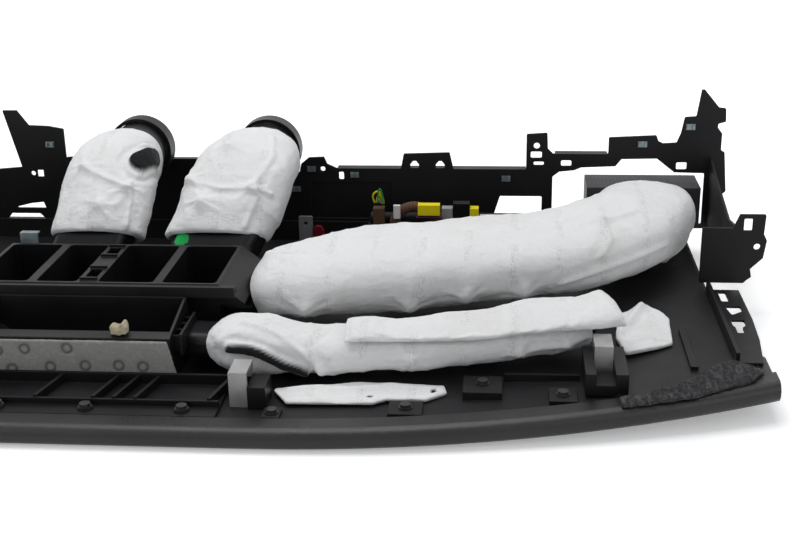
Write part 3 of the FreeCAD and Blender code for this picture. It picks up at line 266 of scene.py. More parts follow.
FLEECE = fleece("white_fleece")
AIR_TONE = (0.007, 0.007, 0.008)
DUCT_TONE = (0.006, 0.006, 0.007)
STYLES = {
    "skin_vinyl": skin_material(),
    "carrier_black": plastic("carrier_black", (0.009, 0.009, 0.010), 0.40, 0.22, 1300, 0.05, 0.25),
    "frame_grey": plastic("frame_grey", (0.007, 0.007, 0.008), 0.42, 0.12, 1500, 0.05, 0.25),
    "trim_black": plastic("trim_black", (0.006, 0.006, 0.007), 0.38, 0.12),
    "manifold_plastic": plastic("manifold_plastic", AIR_TONE, 0.36, 0.25, 900, 0.06, 0.35, edge=1.5),
    "trough_plastic": plastic("trough_plastic", AIR_TONE, 0.36, 0.25, 900, 0.06, 0.35, edge=1.5),
    "nozzle_plastic": plastic("nozzle_plastic", (0.006, 0.006, 0.007), 0.38, 0.2, edge=1.4),
    "grey_felt": felt("grey_felt", (0.24, 0.235, 0.225), 0.6, 0.8, (0.42, 0.41, 0.39)),
    "dark_felt": felt("dark_felt", (0.014, 0.014, 0.015), 0.9, 1.6, (0.16, 0.16, 0.165)),
    "duct_black": plastic("duct_black", DUCT_TONE, 0.35, 0.1, 1100, 0.04, 0.15),
    "white_fleece": FLEECE,
    "vent_grey": plastic("vent_grey", (0.035, 0.035, 0.038), 0.5, 0.2, 1200, 0.08, 0.3, ribbed=True),
    "panel_grey": plastic("panel_grey", (0.010, 0.010, 0.011), 0.40, 0.2),
    "bracket_steel": plastic("bracket_paint", (0.008, 0.0078, 0.0075), 0.5, 0.3, 700, 0.08, 0.5),
    "strap_steel": steel("strap_steel", (0.36, 0.36, 0.36), 0.4, 0.2, 0.5),
    "beige_foam": felt("beige_foam", (0.42, 0.36, 0.25), 0.5, 1.6, (0.62, 0.56, 0.46)),
    "screw_steel": steel("screw_steel", (0.07, 0.07, 0.072), 0.35, 0.2),
    "clip_steel": steel("clip_steel", (0.24, 0.29, 0.31), 0.35, 0.1),
    "tag_grey": plastic("tag_grey", (0.2, 0.2, 0.21), 0.5, 0.2),
    "red_plastic": plastic("red_plastic", (0.16, 0.008, 0.015), 0.45, 0.1),
    "tape_black": tape("tape_black", (0.012, 0.012, 0.012)),
    "tape_brown": tape("tape_brown", (0.10, 0.05, 0.03)),
    "yellow_plastic": plastic("yellow_plastic", (0.76, 0.62, 0.01), 0.4, 0.05, 1200, 0.03, 0.1),
    "white_plastic": plastic("white_plastic", (0.62, 0.62, 0.60), 0.4, 0.1, 1200, 0.03, 0.1),
    "brown_plastic": plastic("brown_plastic", (0.09, 0.05, 0.03), 0.45, 0.1),
    "grey_plastic": plastic("grey_plastic", (0.28, 0.28, 0.29), 0.45, 0.1),
    "green_plastic": plastic("green_plastic", (0.01, 0.30, 0.06), 0.5, 0.05),
    "purple_plastic": plastic("purple_plastic", (0.05, 0.008, 0.05), 0.45, 0.05),
}


def paint(obj, material):
    obj.data.materials.clear()
    obj.data.materials.append(material)


for part in frame["record"]["subparts"]:
    obj = nodes[part["node"]]
    for index in range(max(1, len(obj.material_slots))):
        if not obj.material_slots:
            obj.data.materials.append(STYLES[part["material_slot"]])
        obj.material_slots[index].material = STYLES[part["material_slot"]]


# A green spot is painted on the right outlet duct, at this place in mm
GREEN_SPOT = ((60, 46, 94), 9, (0.01, 0.36, 0.08))
paint(nodes["centre_duct_right"], plastic("duct_marked", DUCT_TONE, 0.35, 0.1, mark=GREEN_SPOT))


# Camera, light and floor

def make_camera():
    """The photograph's view: 5 degrees to the left, 20 down, rolled by 1."""
    yaw, pitch, roll = (math.radians(a) for a in (5.0, 20.0, 1.0))
    heading = Vector((-math.sin(yaw), math.cos(yaw), 0))
    right = Vector((math.cos(yaw), math.sin(yaw), 0))
    forward = heading * math.cos(pitch) + Vector((0, 0, -math.sin(pitch)))
    up = heading * math.sin(pitch) + Vector((0, 0, math.cos(pitch)))
    right_rolled = right * math.cos(roll) - up * math.sin(roll)
    up_rolled = right * math.sin(roll) + up * math.cos(roll)
    data = bpy.data.cameras.new("camera")
    data.sensor_width = 36
    data.lens = 56.25
    camera = bpy.data.objects.new("camera", data)
    bpy.context.scene.collection.objects.link(camera)
    axes = Matrix((right_rolled, up_rolled, -forward)).transposed()
    camera.matrix_world = Matrix.Translation((0.455, -1.3818, 0.5828)) @ axes.to_4x4()
    bpy.context.scene.camera = camera


def area_light(name, place, target, size, power):
    data = bpy.data.lights.new(name, "AREA")
    data.energy = power
    data.shape = "RECTANGLE"
    data.size = size
    data.size_y = size
    lamp = bpy.data.objects.new(name, data)
    bpy.context.scene.collection.objects.link(lamp)
    lamp.location = place
    lamp.rotation_mode = "QUATERNION"
    lamp.rotation_quaternion = (Vector(target) - Vector(place)).to_track_quat("-Z", "Y")


def white_background(tree, base, shown):
    """Camera, mirror and glass rays see plain white; everything else sees base."""
    path = tree.nodes.new("ShaderNodeLightPath")
    seen = path.outputs["Is Camera Ray"]
    for other in ("Is Glossy Ray", "Is Transmission Ray"):
        either = tree.nodes.new("ShaderNodeMath")
        either.operation = "MAXIMUM"
        tree.links.new(seen, either.inputs[0])
        tree.links.new(path.outputs[other], either.inputs[1])
        seen = either.outputs[0]
    mix = tree.nodes.new("ShaderNodeMixShader")
    tree.links.new(seen, mix.inputs[0])
    tree.links.new(base, mix.inputs[1])
    tree.links.new(shown, mix.inputs[2])
    return mix.outputs[0]


def make_stage():
    """A white floor and background, and three soft lamps."""
    size = 6.0
    corners = [(-size, -size, 0), (size, -size, 0), (size, size, 0), (-size, size, 0)]
    mesh = bpy.data.meshes.new("floor")
    mesh.from_pydata(corners, [], [(0, 1, 2, 3)])
    floor = bpy.data.objects.new("floor", mesh)
    bpy.context.scene.collection.objects.link(floor)
    floor.location.z = -0.0005
    g = Graph("floor_white")
    g.set(Roughness=0.9, Specular_IOR_Level=0.1)
    tone = g.mix(g.noise(3, 2), (0.95, 0.95, 0.95), (0.97, 0.97, 0.97))
    g.link(tone, g.shader.inputs["Base Color"])
    g.set(Emission_Color=(1, 1, 1, 1))
    radius = g.add("ShaderNodeVectorMath", operation="LENGTH")
    g.link(g.coords, radius.inputs[0])
    g.link(g.ramp(radius.outputs["Value"], 0.7, 2.2, 0.3, 1.0), g.shader.inputs["Emission Strength"])
    paint(floor, g.material)
    world = bpy.data.worlds.new("studio")
    bpy.context.scene.world = world
    world.use_nodes = True
    tree = world.node_tree
    tree.nodes.clear()
    soft = tree.nodes.new("ShaderNodeBackground")
    soft.inputs["Color"].default_value = (0.93, 0.96, 1.0, 1)
    soft.inputs["Strength"].default_value = 0.34
    white = tree.nodes.new("ShaderNodeBackground")
    white.inputs["Color"].default_value = (1, 1, 1, 1)
    white.inputs["Strength"].default_value = 1.0
    output = tree.nodes.new("ShaderNodeOutputWorld")
    tree.links.new(white_background(tree, soft.outputs[0], white.outputs[0]), output.inputs["Surface"])
    area_light("overhead", (0.0, 0.35, 2.4), (0.1, 0, 0), 2.0, 42)
    area_light("front_left", (-1.9, -1.9, 1.7), (0.1, 0, 0.05), 1.4, 11)
    area_light("front_right", (2.3, -1.7, 1.5), (0.3, 0, 0.05), 1.2, 9)
    bpy.context.scene.view_settings.view_transform = "Standard"


make_camera()
make_stage()


# Meshes made point by point

def new_mesh(name, points, faces, material):
    mesh = bpy.data.meshes.new(name)
    mesh.from_pydata([tuple(p) for p in points], [], [tuple(f) for f in faces])
    mesh.validate()
    mesh.update()
    obj = bpy.data.objects.new(name, mesh)
    bpy.context.scene.collection.objects.link(obj)
    paint(obj, material)
    mesh.polygons.foreach_set("use_smooth", [True] * len(mesh.polygons))
    return obj


def grid_faces(rows, columns, closed_rows=False, closed_columns=False):
    faces = []
    for i in range(rows if closed_rows else rows - 1):
        for j in range(columns if closed_columns else columns - 1):
            a, b = i % rows, (i + 1) % rows
            c, d = j % columns, (j + 1) % columns
            faces.append((a * columns + c, a * columns + d, b * columns + d, b * columns + c))
    return faces


def smooth_line(stations, count):
    """Values between the stations on a smooth curve that goes through all of them."""
    table = np.array(stations, float)
    last = len(table) - 1
    spans = np.linalg.norm(np.diff(table[:, :3], axis=0), axis=1)
    knots = np.concatenate([[0], np.cumsum(spans)]) / spans.sum()
    result = []
    for t in np.linspace(0, 1, count):
        i = min(max(int(np.searchsorted(knots, t, side="right")) - 1, 0), last - 1)
        u = (t - knots[i]) / (knots[i + 1] - knots[i])
        p0, p1, p2, p3 = (table[min(max(k, 0), last)] for k in (i - 1, i, i + 1, i + 2))
        square = 2 * p0 - 5 * p1 + 4 * p2 - p3
        cube = 3 * p1 - p0 - 3 * p2 + p3
        result.append(0.5 * ((2 * p1) + (p2 - p0) * u + square * u ** 2 + cube * u ** 3))
    return np.array(result)


def lumps(points, size, seed):
    """Smooth noise from -1 to 1 at points in mm, with lumps of about that size."""
    shift = seed * 17.3
    return np.array([noise.noise(Vector((x / size + shift, y / size, z / size))) for x, y, z in points])


def coordinates(obj):
    """A mesh's points in mm, as rows."""
    values = np.zeros(len(obj.data.vertices) * 3, np.float32)
    obj.data.vertices.foreach_get("co", values)
    return values.reshape(-1, 3).astype(float) / MM


def move_to(obj, points):
    obj.data.vertices.foreach_set("co", (points * MM).astype(np.float32).ravel())
    obj.data.update()


def normals(obj):
    values = np.zeros(len(obj.data.vertices) * 3, np.float32)
    obj.data.vertices.foreach_get("normal", values)
    return values.reshape(-1, 3).astype(float)


def applied(obj):
    """Applies an object's modifiers, so that the piece keeps plain mesh data."""
    graph = bpy.context.evaluated_depsgraph_get()
    result = bpy.data.meshes.new_from_object(obj.evaluated_get(graph))
    obj.modifiers.clear()
    old = obj.data
    obj.data = result
    bpy.data.meshes.remove(old)


def subdivide(obj, levels=1):
    modifier = obj.modifiers.new("smooth", "SUBSURF")
    modifier.levels = levels
    modifier.render_levels = levels
    applied(obj)


# Power of the rounded box section: 2 is an ellipse, more is squarer
BOX_POWER = 2.4


def ring_frame(way, level):
    """Unit vectors to the side and up, across a run; a level run's side is the car's width."""
    side = np.array([1.0, 0.0, 0.0]) if level else np.array([way[1], -way[0], 0.0])
    side /= np.linalg.norm(side)
    up = np.cross(side, way)
    return side, up / np.linalg.norm(up)


def ring_point(station, way, angle, power=BOX_POWER, level=False):
    """A point on a run's rounded box section; 0 degrees faces to its right, 90 is up."""
    side, up = ring_frame(way, level)
    c, s = math.cos(math.radians(angle)), math.sin(math.radians(angle))
    dx = math.copysign(abs(c) ** (2 / power), c) * station[3]
    dy = math.copysign(abs(s) ** (2 / power), s) * station[4]
    return station[:3] + side * dx + up * dy


def run_ways(line):
    ways = np.gradient(line[:, :3], axis=0)
    return ways / np.linalg.norm(ways, axis=1)[:, None]


def keep_values(obj, key, values):
    """Stores a number for each point of a mesh."""
    store = obj.data.attributes.new(key, "FLOAT", "POINT")
    store.data.foreach_set("value", np.array(values, np.float32))


def make_sleeve(name, outer, inner, along, around, level):
    """A padded tube round a duct, its outer rows first and then its lining's rows back."""
    lines = [smooth_line(outer, along), smooth_line(inner, along)[::-1]]
    ways = run_ways(lines[0])
    angles = [360 * k / around for k in range(around)]
    points, share = [], []
    for layer, line in enumerate(lines):
        for i, station in enumerate(line):
            at = i if layer == 0 else along - 1 - i
            edge = min(at, along - 1 - at)
            tuck = 0.5 * (1 - math.sin(min(edge, 3) / 3 * math.pi / 2))
            other = lines[1 - layer][along - 1 - i]
            mixed = station * (1 - tuck) + other * tuck
            for angle in angles:
                points.append(ring_point(mixed, ways[at], angle, BOX_POWER, level))
                share.append(at / (along - 1))
    faces = grid_faces(2 * along, around, True, True)
    obj = new_mesh(name, np.array(points) * MM, faces, FLEECE)
    keep_values(obj, "share", share)
    return obj


def swell(obj, held, pressure, growth, cap):
    """Swells a piece with a short cloth simulation and keeps the result; held is 0 to 1 a point."""
    stiffness, frames = 8.0, 20
    start = coordinates(obj)
    group = obj.vertex_groups.new(name="held")
    for index in np.nonzero(held > 0)[0]:
        group.add([int(index)], float(held[index]), "REPLACE")
    cloth = obj.modifiers.new("swell", "CLOTH")
    settings = cloth.settings
    settings.quality = 5
    settings.mass = 0.3
    settings.tension_stiffness = stiffness
    settings.compression_stiffness = stiffness
    settings.shear_stiffness = stiffness * 0.5
    settings.bending_stiffness = 0.4
    settings.use_pressure = True
    settings.uniform_pressure_force = pressure
    settings.shrink_min = -growth
    settings.vertex_group_mass = "held"
    settings.pin_stiffness = 1.0
    settings.effector_weights.gravity = 0
    cloth.collision_settings.use_collision = False
    scene = bpy.context.scene
    for number in range(1, frames + 1):
        scene.frame_set(number)
    graph = bpy.context.evaluated_depsgraph_get()
    swollen = obj.evaluated_get(graph)
    mesh = swollen.to_mesh()
    moved = np.zeros(len(mesh.vertices) * 3, np.float32)
    mesh.vertices.foreach_get("co", moved)
    swollen.to_mesh_clear()
    obj.modifiers.remove(cloth)
    scene.frame_set(1)
    step = moved.reshape(-1, 3) / MM - start
    length = np.linalg.norm(step, axis=1)
    share = np.minimum(1, cap / np.maximum(length, 1e-9))
    move_to(obj, start + step * share[:, None])


def pleats(points, facing, centre, normal, depth, reach, seed):
    """How far points sink round a tuft: a dimple, and pleats that run out from it."""
    away = points - centre
    distance = np.linalg.norm(away, axis=1)
    first = np.cross(normal, (0.3, 0.5, 0.81))
    first /= np.linalg.norm(first)
    second = np.cross(normal, first)
    angle = np.arctan2(away @ second, away @ first)
    wave = np.cos(7 * angle + seed) + 0.6 * np.cos(12 * angle + 2.1 * seed)
    window = np.exp(-(((distance - 0.55 * reach) / (0.4 * reach)) ** 2))
    same_side = (facing @ normal > 0.0) * (distance < 3 * reach)
    narrow = np.exp(-((distance / (0.30 * reach)) ** 2))
    broad = np.exp(-((distance / (0.9 * reach)) ** 2))
    dimple = depth * narrow + 0.45 * depth * broad
    return same_side * (dimple + 0.10 * depth * wave * window)


def line_distance(points, line):
    """Distance of each point to the line through a row of points."""
    line = np.array(line)
    best = np.full(len(points), 1e9)
    for a, b in zip(line[:-1], line[1:]):
        run = b - a
        t = np.clip((points - a) @ run / (run @ run), 0, 1)
        best = np.minimum(best, np.linalg.norm(points - a - t[:, None] * run, axis=1))
    return best


def dress(obj, node):
    """Hangs a soft piece under the root body and hides the node of the part that it stands for."""
    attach(obj, "root")
    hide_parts(node)


# How much slimmer a sleeve is before it swells, in half widths and half heights
SLIM_WIDE, SLIM_HIGH = 6, 5
TUFT_GRIP = 5
DEEPEST_SINK = 9.0
# Share of the run at either end where the folds fade out
END_FADE = 0.04


def tufted_sleeve(
    name, node, outer, inner, along, around, tufts, creases, seed,
    level=False, growth=0.05, cap=14, depth=7.0, reach=30.0, mouth=None,
):
    """A sleeve whose tufts hold it down while it swells; then its creases and pleats are made.

    Tufts and the points of creases are pairs: share along the run, angle round it in degrees.
    """
    slim = [(x, y, z, w - SLIM_WIDE, h - SLIM_HIGH) for x, y, z, w, h in outer]
    obj = make_sleeve(name, slim, inner, along, around, level)
    count = along * around

    def spot(pair):
        row = int(round(pair[0] * (along - 1)))
        return row * around + int(round(pair[1] / 360 * around)) % around

    index = np.arange(2 * count)
    held = np.zeros(2 * count)
    held[index >= count] = 1.0
    rows = index // around
    held[(rows == 0) | (rows == along - 1)] = 0.7
    start = coordinates(obj)
    for pair in tufts:
        near = np.linalg.norm(start - start[spot(pair)], axis=1) < TUFT_GRIP
        held[near & (index < count)] = 1.0
    swell(obj, held, 4.0, growth, cap)
    base = coordinates(obj)
    facing = normals(obj)
    centres = [(base[spot(pair)], facing[spot(pair)]) for pair in tufts]
    lines = [[base[spot(pair)] for pair in crease] for crease in creases]
    subdivide(obj)
    points, facing = coordinates(obj), normals(obj)
    share = np.zeros(len(points), np.float32)
    obj.data.attributes["share"].data.foreach_get("value", share)
    sink = np.zeros(len(points))
    for number, (centre, normal) in enumerate(centres):
        sink += pleats(points, facing, centre, normal, depth, reach, seed + number)
    for line in lines:
        gap = line_distance(points, line)
        sink += 2.6 * np.exp(-((gap / 3.2) ** 2)) - 0.7 * np.exp(-(((gap - 8) / 6.0) ** 2))
    soft = lumps(points, 46, seed) * 2.6 + lumps(points, 15, seed + 3) * 0.7
    ridged = (1 - np.abs(lumps(points * np.array([1.0, 0.4, 0.4]), 26, seed + 5))) ** 6
    sink += soft - 1.0 + 1.1 * ridged + 0.35 * lumps(points, 6, seed + 9)
    sink = np.minimum(sink, DEEPEST_SINK)
    ends = np.clip(np.minimum(share, 1 - share) / END_FADE, 0, 1)
    points -= facing * (sink * (0.25 + 0.75 * ends))[:, None]
    move_to(obj, points)
    if mouth:
        line, wide, deep = mouth
        cut_mouth(obj, [base[spot(pair)] for pair in line], wide, deep)
    dress(obj, node)


def cut_mouth(obj, line, wide, deep):
    """A long open slit: its floor sinks and is dark, its rim is a soft roll."""
    points, facing = coordinates(obj), normals(obj)
    gap = line_distance(points, line)
    inside = np.clip((wide + 2 - gap) / 5.0, 0, 1)
    sink = deep * inside * inside * (3 - 2 * inside) - 2.2 * np.exp(-(((gap - wide * 1.8) / 4.0) ** 2))
    steady = np.mean(facing[gap < wide + 4], axis=0)
    steady /= np.linalg.norm(steady)
    way = np.where((gap < wide + 6)[:, None], 0.5 * facing + 0.5 * steady, facing)
    move_to(obj, points - way * sink[:, None])
    keep_values(obj, "opened", np.clip((wide - gap) / 2.0 + 0.5, 0, 1))


def mirrored(stations):
    return [(-x, y, z, w, h) for x, y, z, w, h in stations]


# The long sleeve round the passenger's duct, and its mirror image on the driver's side

# Stations of a run: X, Y, Z, half width and half height in mm
BIG_DUCT = [
    (174, -47, 52, 36, 22), (202, -45, 74, 49.5, 30.5), (236, -38, 79, 58.5, 34.5),
    (300, -16, 81, 64.5, 35.5), (420, 14, 81, 66.5, 35.5), (520, 44, 81, 64.5, 34.5),
    (592, 98, 81, 62.5, 33.5), (633, 160, 81, 54.5, 30.5), (641, 232, 81, 54.5, 26.5),
]
BIG_RUN = [
    (174, -48, 64, 54, 30), (202, -45, 74, 64, 40), (236, -38, 78, 73, 43), (300, -16, 80, 80, 49),
    (420, 14, 84, 82, 48), (520, 44, 85, 81, 47), (592, 98, 89, 78, 48), (633, 160, 90, 71, 45),
    (641, 232, 86, 70, 40),
]
BIG_TUFTS = [
    (0.09, 344), (0.29, 334), (0.39, 344), (0.49, 340), (0.66, 64),
    (0.04, 86), (0.30, 200), (0.52, 190), (0.84, 300),
]
BIG_CREASES = [
    [(0.04, 86), (0.05, 86), (0.09, 84)],
    [(0.62, 86), (0.66, 64), (0.70, 66), (0.75, 64)],
    [(0.66, 64), (0.65, 34), (0.63, 12)],
    [(0.56, 346), (0.62, 354), (0.69, 358), (0.77, 358)],
]
tufted_sleeve("passenger_sleeve", "passenger_pad", BIG_RUN, BIG_DUCT, 92, 84, BIG_TUFTS, BIG_CREASES, 3.1)
tufted_sleeve(
    "driver_sleeve", "driver_pad", mirrored(BIG_RUN), mirrored(BIG_DUCT), 92, 84, BIG_TUFTS, BIG_CREASES, 8.4,
)


# The sleeve round the side-window defroster's duct, with an open mouth at its left end

SMALL_DUCT = [
    (148, -160, 49, 26, 15), (166, -163, 49, 26, 15.5), (196, -167, 49.5, 26.5, 15.5),
    (222, -170, 50, 27.5, 16.5), (262, -170, 50.5, 28, 16.5), (320, -169, 51, 28.5, 16.5),
    (400, -160, 52, 28.5, 16.5), (470, -144, 54, 27.5, 15.5), (544, -123, 59, 24, 14),
]
SMALL_RUN = [
    (148, -160, 47, 33, 24), (166, -163, 50, 40, 33), (196, -167, 50, 42, 35), (222, -170, 49, 42, 33),
    (262, -170, 47, 41, 28), (320, -169, 49, 41, 27), (400, -160, 50, 41, 27), (470, -144, 53, 39, 27),
    (544, -123, 57, 35, 24),
]
SMALL_TUFTS = [(0.53, 2), (0.30, 336), (0.05, 22), (0.80, 0), (0.91, 0)]
SMALL_CREASES = [
    [(0.26, 60), (0.27, 24), (0.29, 342)],
    [(0.09, 72), (0.18, 54), (0.25, 18), (0.28, 348)],
    [(0.78, 350), (0.86, 352), (0.93, 352), (0.97, 0)],
]
SMALL_MOUTH = ([(0.07, 14), (0.12, 14), (0.16, 6), (0.21, 350), (0.26, 330)], 5.2, 9.0)
tufted_sleeve(
    "defroster_sleeve", "defroster_pad", SMALL_RUN, SMALL_DUCT, 100, 64, SMALL_TUFTS, SMALL_CREASES, 5.5,
    cap=7, depth=6, reach=22, growth=0.03, mouth=SMALL_MOUTH,
)


# The two sleeves round the centre outlets' ducts

LEFT_DUCT = [
    (-56, 71, 84, 47.5, 26), (-53, 80, 96, 47.5, 27), (-47, 98, 115, 47.5, 27.5), (-39, 142, 150, 43, 33.5),
    (-34, 190, 160, 37.5, 37.5),
]
LEFT_RUN = [
    (-54, 71, 84, 66, 41), (-52, 80, 96, 65, 42), (-49, 98, 114, 65, 43), (-48, 142, 149, 64, 48),
    (-43, 190, 158, 55, 47),
]
LEFT_TUFTS = [(0.38, 60), (0.20, 86), (0.52, 110)]
LEFT_CREASES = [[(0.42, 54), (0.27, 50), (0.06, 44)], [(0.52, 110), (0.44, 85), (0.38, 60)]]
LEFT_NOTCH = ([(0.72, 16), (0.66, 30), (0.60, 44)], 13.0, 12.0)
RIGHT_DUCT = [
    (101, 71, 84, 55.5, 26), (108, 80, 96, 55.5, 27), (119, 98, 115, 55.5, 27.5), (132, 142, 150, 50, 33.5),
    (141, 190, 160, 37.5, 37.5),
]
RIGHT_RUN = [
    (99, 71, 84, 73, 41), (104, 80, 96, 73, 42), (113, 98, 114, 73, 44), (125, 142, 151, 71, 48),
    (134, 190, 159, 61, 49),
]
RIGHT_TUFTS = [(0.37, 66), (0.47, 140), (0.23, 106), (0.67, 100)]
RIGHT_CREASES = [
    [(0.80, 62), (0.63, 52), (0.39, 66), (0.28, 60), (0.06, 60)],
    [(0.46, 138), (0.35, 96), (0.37, 66), (0.35, 42)],
]
tufted_sleeve(
    "outlet_sleeve_left", "centre_pad_left", LEFT_RUN, LEFT_DUCT, 60, 80, LEFT_TUFTS, LEFT_CREASES, 1.7,
    cap=9, depth=5, reach=26, growth=0.03, level=True, mouth=LEFT_NOTCH,
)
tufted_sleeve(
    "outlet_sleeve_right", "centre_pad_right", RIGHT_RUN, RIGHT_DUCT, 60, 80, RIGHT_TUFTS, RIGHT_CREASES, 2.9,
    cap=9, depth=6, reach=26, growth=0.03, level=True,
)


# Flaps, felts and foam are worked from the CAD solids of the same place

def remeshed(name, node, voxel, material):
    """A fine even copy of a plain CAD solid."""
    obj = bpy.data.objects.new(name, nodes[node].data.copy())
    bpy.context.scene.collection.objects.link(obj)
    obj.matrix_world = nodes[node].matrix_world.copy()
    bpy.context.view_layer.update()
    obj.data.transform(obj.matrix_world)
    obj.matrix_world = Matrix.Identity(4)
    modifier = obj.modifiers.new("even", "REMESH")
    modifier.mode = "VOXEL"
    modifier.voxel_size = voxel * MM
    applied(obj)
    paint(obj, material)
    obj.data.polygons.foreach_set("use_smooth", [True] * len(obj.data.polygons))
    return obj


def pinch_holes(obj, holes, radius):
    """Small punched holes: their walls sink through the sheet and are dark."""
    points = coordinates(obj)
    dark = np.zeros(len(points))
    for x, y in holes:
        gap = np.hypot(points[:, 0] - x, points[:, 1] - y)
        dark = np.maximum(dark, np.clip((radius - gap) / 0.7, 0, 1))
        ring = np.exp(-(((gap - radius * 1.5) / 1.6) ** 2))
        points[:, 2] += 0.7 * ring - 1.6 * np.exp(-((gap / radius) ** 4))
    move_to(obj, points)
    keep_values(obj, "opened", dark)


LOWER_FOLD = [(236, -232), (268, -226), (300, -230), (340, -222), (392, -226)]
LOWER_HEM = [(238, -252), (326, -250), (340, -243), (380, -243), (396, -231)]
LOWER_HOLES = [(322, -240), (386, -226)]
RIGHT_ROLL = [(583, -96), (594, -70), (606, -40), (616, -14)]
RIGHT_PULL = [(594, -122), (612, -108), (632, -112)]


def make_lower_flap():
    """The loose flap in front: a fold along it, a thin hem and two punched holes."""
    obj = remeshed("lower_flap", "flap_lower", 1.3, FLEECE)
    points = coordinates(obj)
    top = points[:, 2].max()
    fold = line_distance(points[:, :2], LOWER_FOLD)
    hem = line_distance(points[:, :2], LOWER_HEM)
    lift = 3.2 * np.exp(-((fold / 5.0) ** 2)) + 1.4 * np.exp(-((hem / 3.0) ** 2))
    lift += 1.6 * lumps(points, 26, 4.2)
    points[:, 2] += np.where(points[:, 2] > top - 2.2, np.maximum(lift, -0.8), 0.0)
    points[:, 1] += 0.22 * (points[:, 1] - points[:, 1].min())
    move_to(obj, points)
    pinch_holes(obj, LOWER_HOLES, 3.4)
    dress(obj, "flap_lower")


def make_right_flap():
    """The flap at the right end: a roll along it and a short pull."""
    obj = remeshed("right_flap", "flap_right", 1.5, FLEECE)
    points = coordinates(obj)
    top = points[:, 2].max()
    roll = line_distance(points[:, :2], RIGHT_ROLL)
    pull = line_distance(points[:, :2], RIGHT_PULL)
    lift = 4.5 * np.exp(-((roll / 5.0) ** 2)) - 1.2 * np.exp(-(((roll - 11) / 4.0) ** 2))
    lift += 1.8 * np.exp(-((pull / 3.0) ** 2)) + 1.6 * lumps(points, 24, 6.1) + 0.6 * lumps(points, 9, 2.2)
    points[:, 2] += np.where(points[:, 2] > top - 3.0, np.maximum(lift, -2.0), 0.0)
    move_to(obj, points)
    dress(obj, "flap_right")


make_lower_flap()
make_right_flap()


def strip_shape(count, across):
    """The fleece strip that lies over the small sleeve: it widens and lifts to the right."""
    line = smooth_line(SMALL_RUN + [(574, -112, 60, 35, 24)], 200)
    ways = run_ways(line)
    picks = np.linspace(0.345, 0.985, count)
    upper, under = [], []
    for n, share in enumerate(picks):
        i = int(share * 199)
        s = n / (count - 1)
        low = 42 - 20 * s - 24 * max(0, s - 0.75)
        high = 96 + 8 * s
        rise = 1.5 + 7.0 * s ** 1.5
        for m in range(across):
            t = m / (across - 1)
            edge = min(t, 1 - t) * across / 3.0
            end = min(s, 1 - s) * count / 3.0
            plump = math.sin(min(1.0, edge, end) * math.pi / 2)
            angle = low + (high - low) * t
            wave = 1.8 * math.sin(9 * s + 2 * t) * s + 1.0 * math.sin(19 * s + 1.3) * t
            station = line[i].copy()
            station[3:] += rise + wave
            upper_station = station.copy()
            upper_station[3:] += 1.2 + 3.6 * plump
            upper.append(ring_point(upper_station, ways[i], angle))
            under.append(ring_point(station, ways[i], angle))
    return upper, under


def make_strip():
    count, across = 90, 22
    upper, under = strip_shape(count, across)
    faces = grid_faces(count, across)
    size = count * across
    faces += [tuple(size + v for v in reversed(face)) for face in grid_faces(count, across)]
    border = [(i * across, (i + 1) * across) for i in range(count - 1)]
    border += [((i + 2) * across - 1, (i + 1) * across - 1) for i in range(count - 1)]
    border += [(j + 1, j) for j in range(across - 1)]
    end = (count - 1) * across
    border += [(end + j, end + j + 1) for j in range(across - 1)]
    faces += [(a, b, size + b, size + a) for a, b in border]
    obj = new_mesh("fleece_strip", np.array(upper + under) * MM, faces, FLEECE)
    held = np.zeros(2 * size)
    held[size:] = 1.0
    swell(obj, held, 2.0, 0.02, 3)
    subdivide(obj)
    points, facing = coordinates(obj), normals(obj)
    seam = line_distance(points, [points[20 * across + 4], points[20 * across + 12]])
    sink = 0.9 * lumps(points, 22, 9.1) + 1.6 * np.exp(-((seam / 5) ** 2))
    move_to(obj, points - facing * sink[:, None])
    dress(obj, "strip_pad")


make_strip()


def fuzz(points, facing, seed, count, length):
    """Loose fibres as thin curved blades; returns their points and faces."""
    random = np.random.default_rng(seed)
    made, faces = [], []
    for index in random.integers(0, len(points), count):
        root = points[index]
        way = facing[index] * random.uniform(0.1, 0.5) + random.normal(0, 0.8, 3) * np.array([1, 1, 0.3])
        way /= np.linalg.norm(way)
        wide = np.cross(way, (0, 0, 1.0))
        wide /= max(np.linalg.norm(wide), 1e-6)
        reach = length * random.uniform(0.4, 1.2)
        bend = np.array([0, 0, -0.25]) + random.normal(0, 0.15, 3)
        start = len(made)
        for k in range(4):
            s = k / 3
            centre = root + way * reach * s + bend * reach * s * s
            made += [centre - wide * 0.16 * (1 - 0.7 * s), centre + wide * 0.16 * (1 - 0.7 * s)]
        faces += [(start + 2 * k, start + 2 * k + 1, start + 2 * k + 3, start + 2 * k + 2) for k in range(3)]
    return made, faces


def felt_piece(name, node, slot, voxel, rough, fibres, length):
    """A felt sheet from a CAD solid, roughened, with loose fibres on it."""
    obj = remeshed(name, node, voxel, STYLES[slot])
    points, facing = coordinates(obj), normals(obj)
    points += facing * (rough * (lumps(points, 12, 1.3) + 0.6 * lumps(points, 4, 2.6)))[:, None]
    move_to(obj, points)
    made, faces = fuzz(points, facing, 11, fibres, length)
    mesh = obj.data
    corners = [tuple(p) for p in points] + [tuple(p) for p in made]
    base = len(points)
    joined = [tuple(face.vertices) for face in mesh.polygons]
    joined += [tuple(base + v for v in face) for face in faces]
    new = bpy.data.meshes.new(name)
    new.from_pydata([tuple(c * MM for c in p) for p in corners], [], joined)
    new.update()
    new.polygons.foreach_set("use_smooth", [True] * len(new.polygons))
    new.materials.append(STYLES[slot])
    obj.data = new
    bpy.data.meshes.remove(mesh)
    return obj


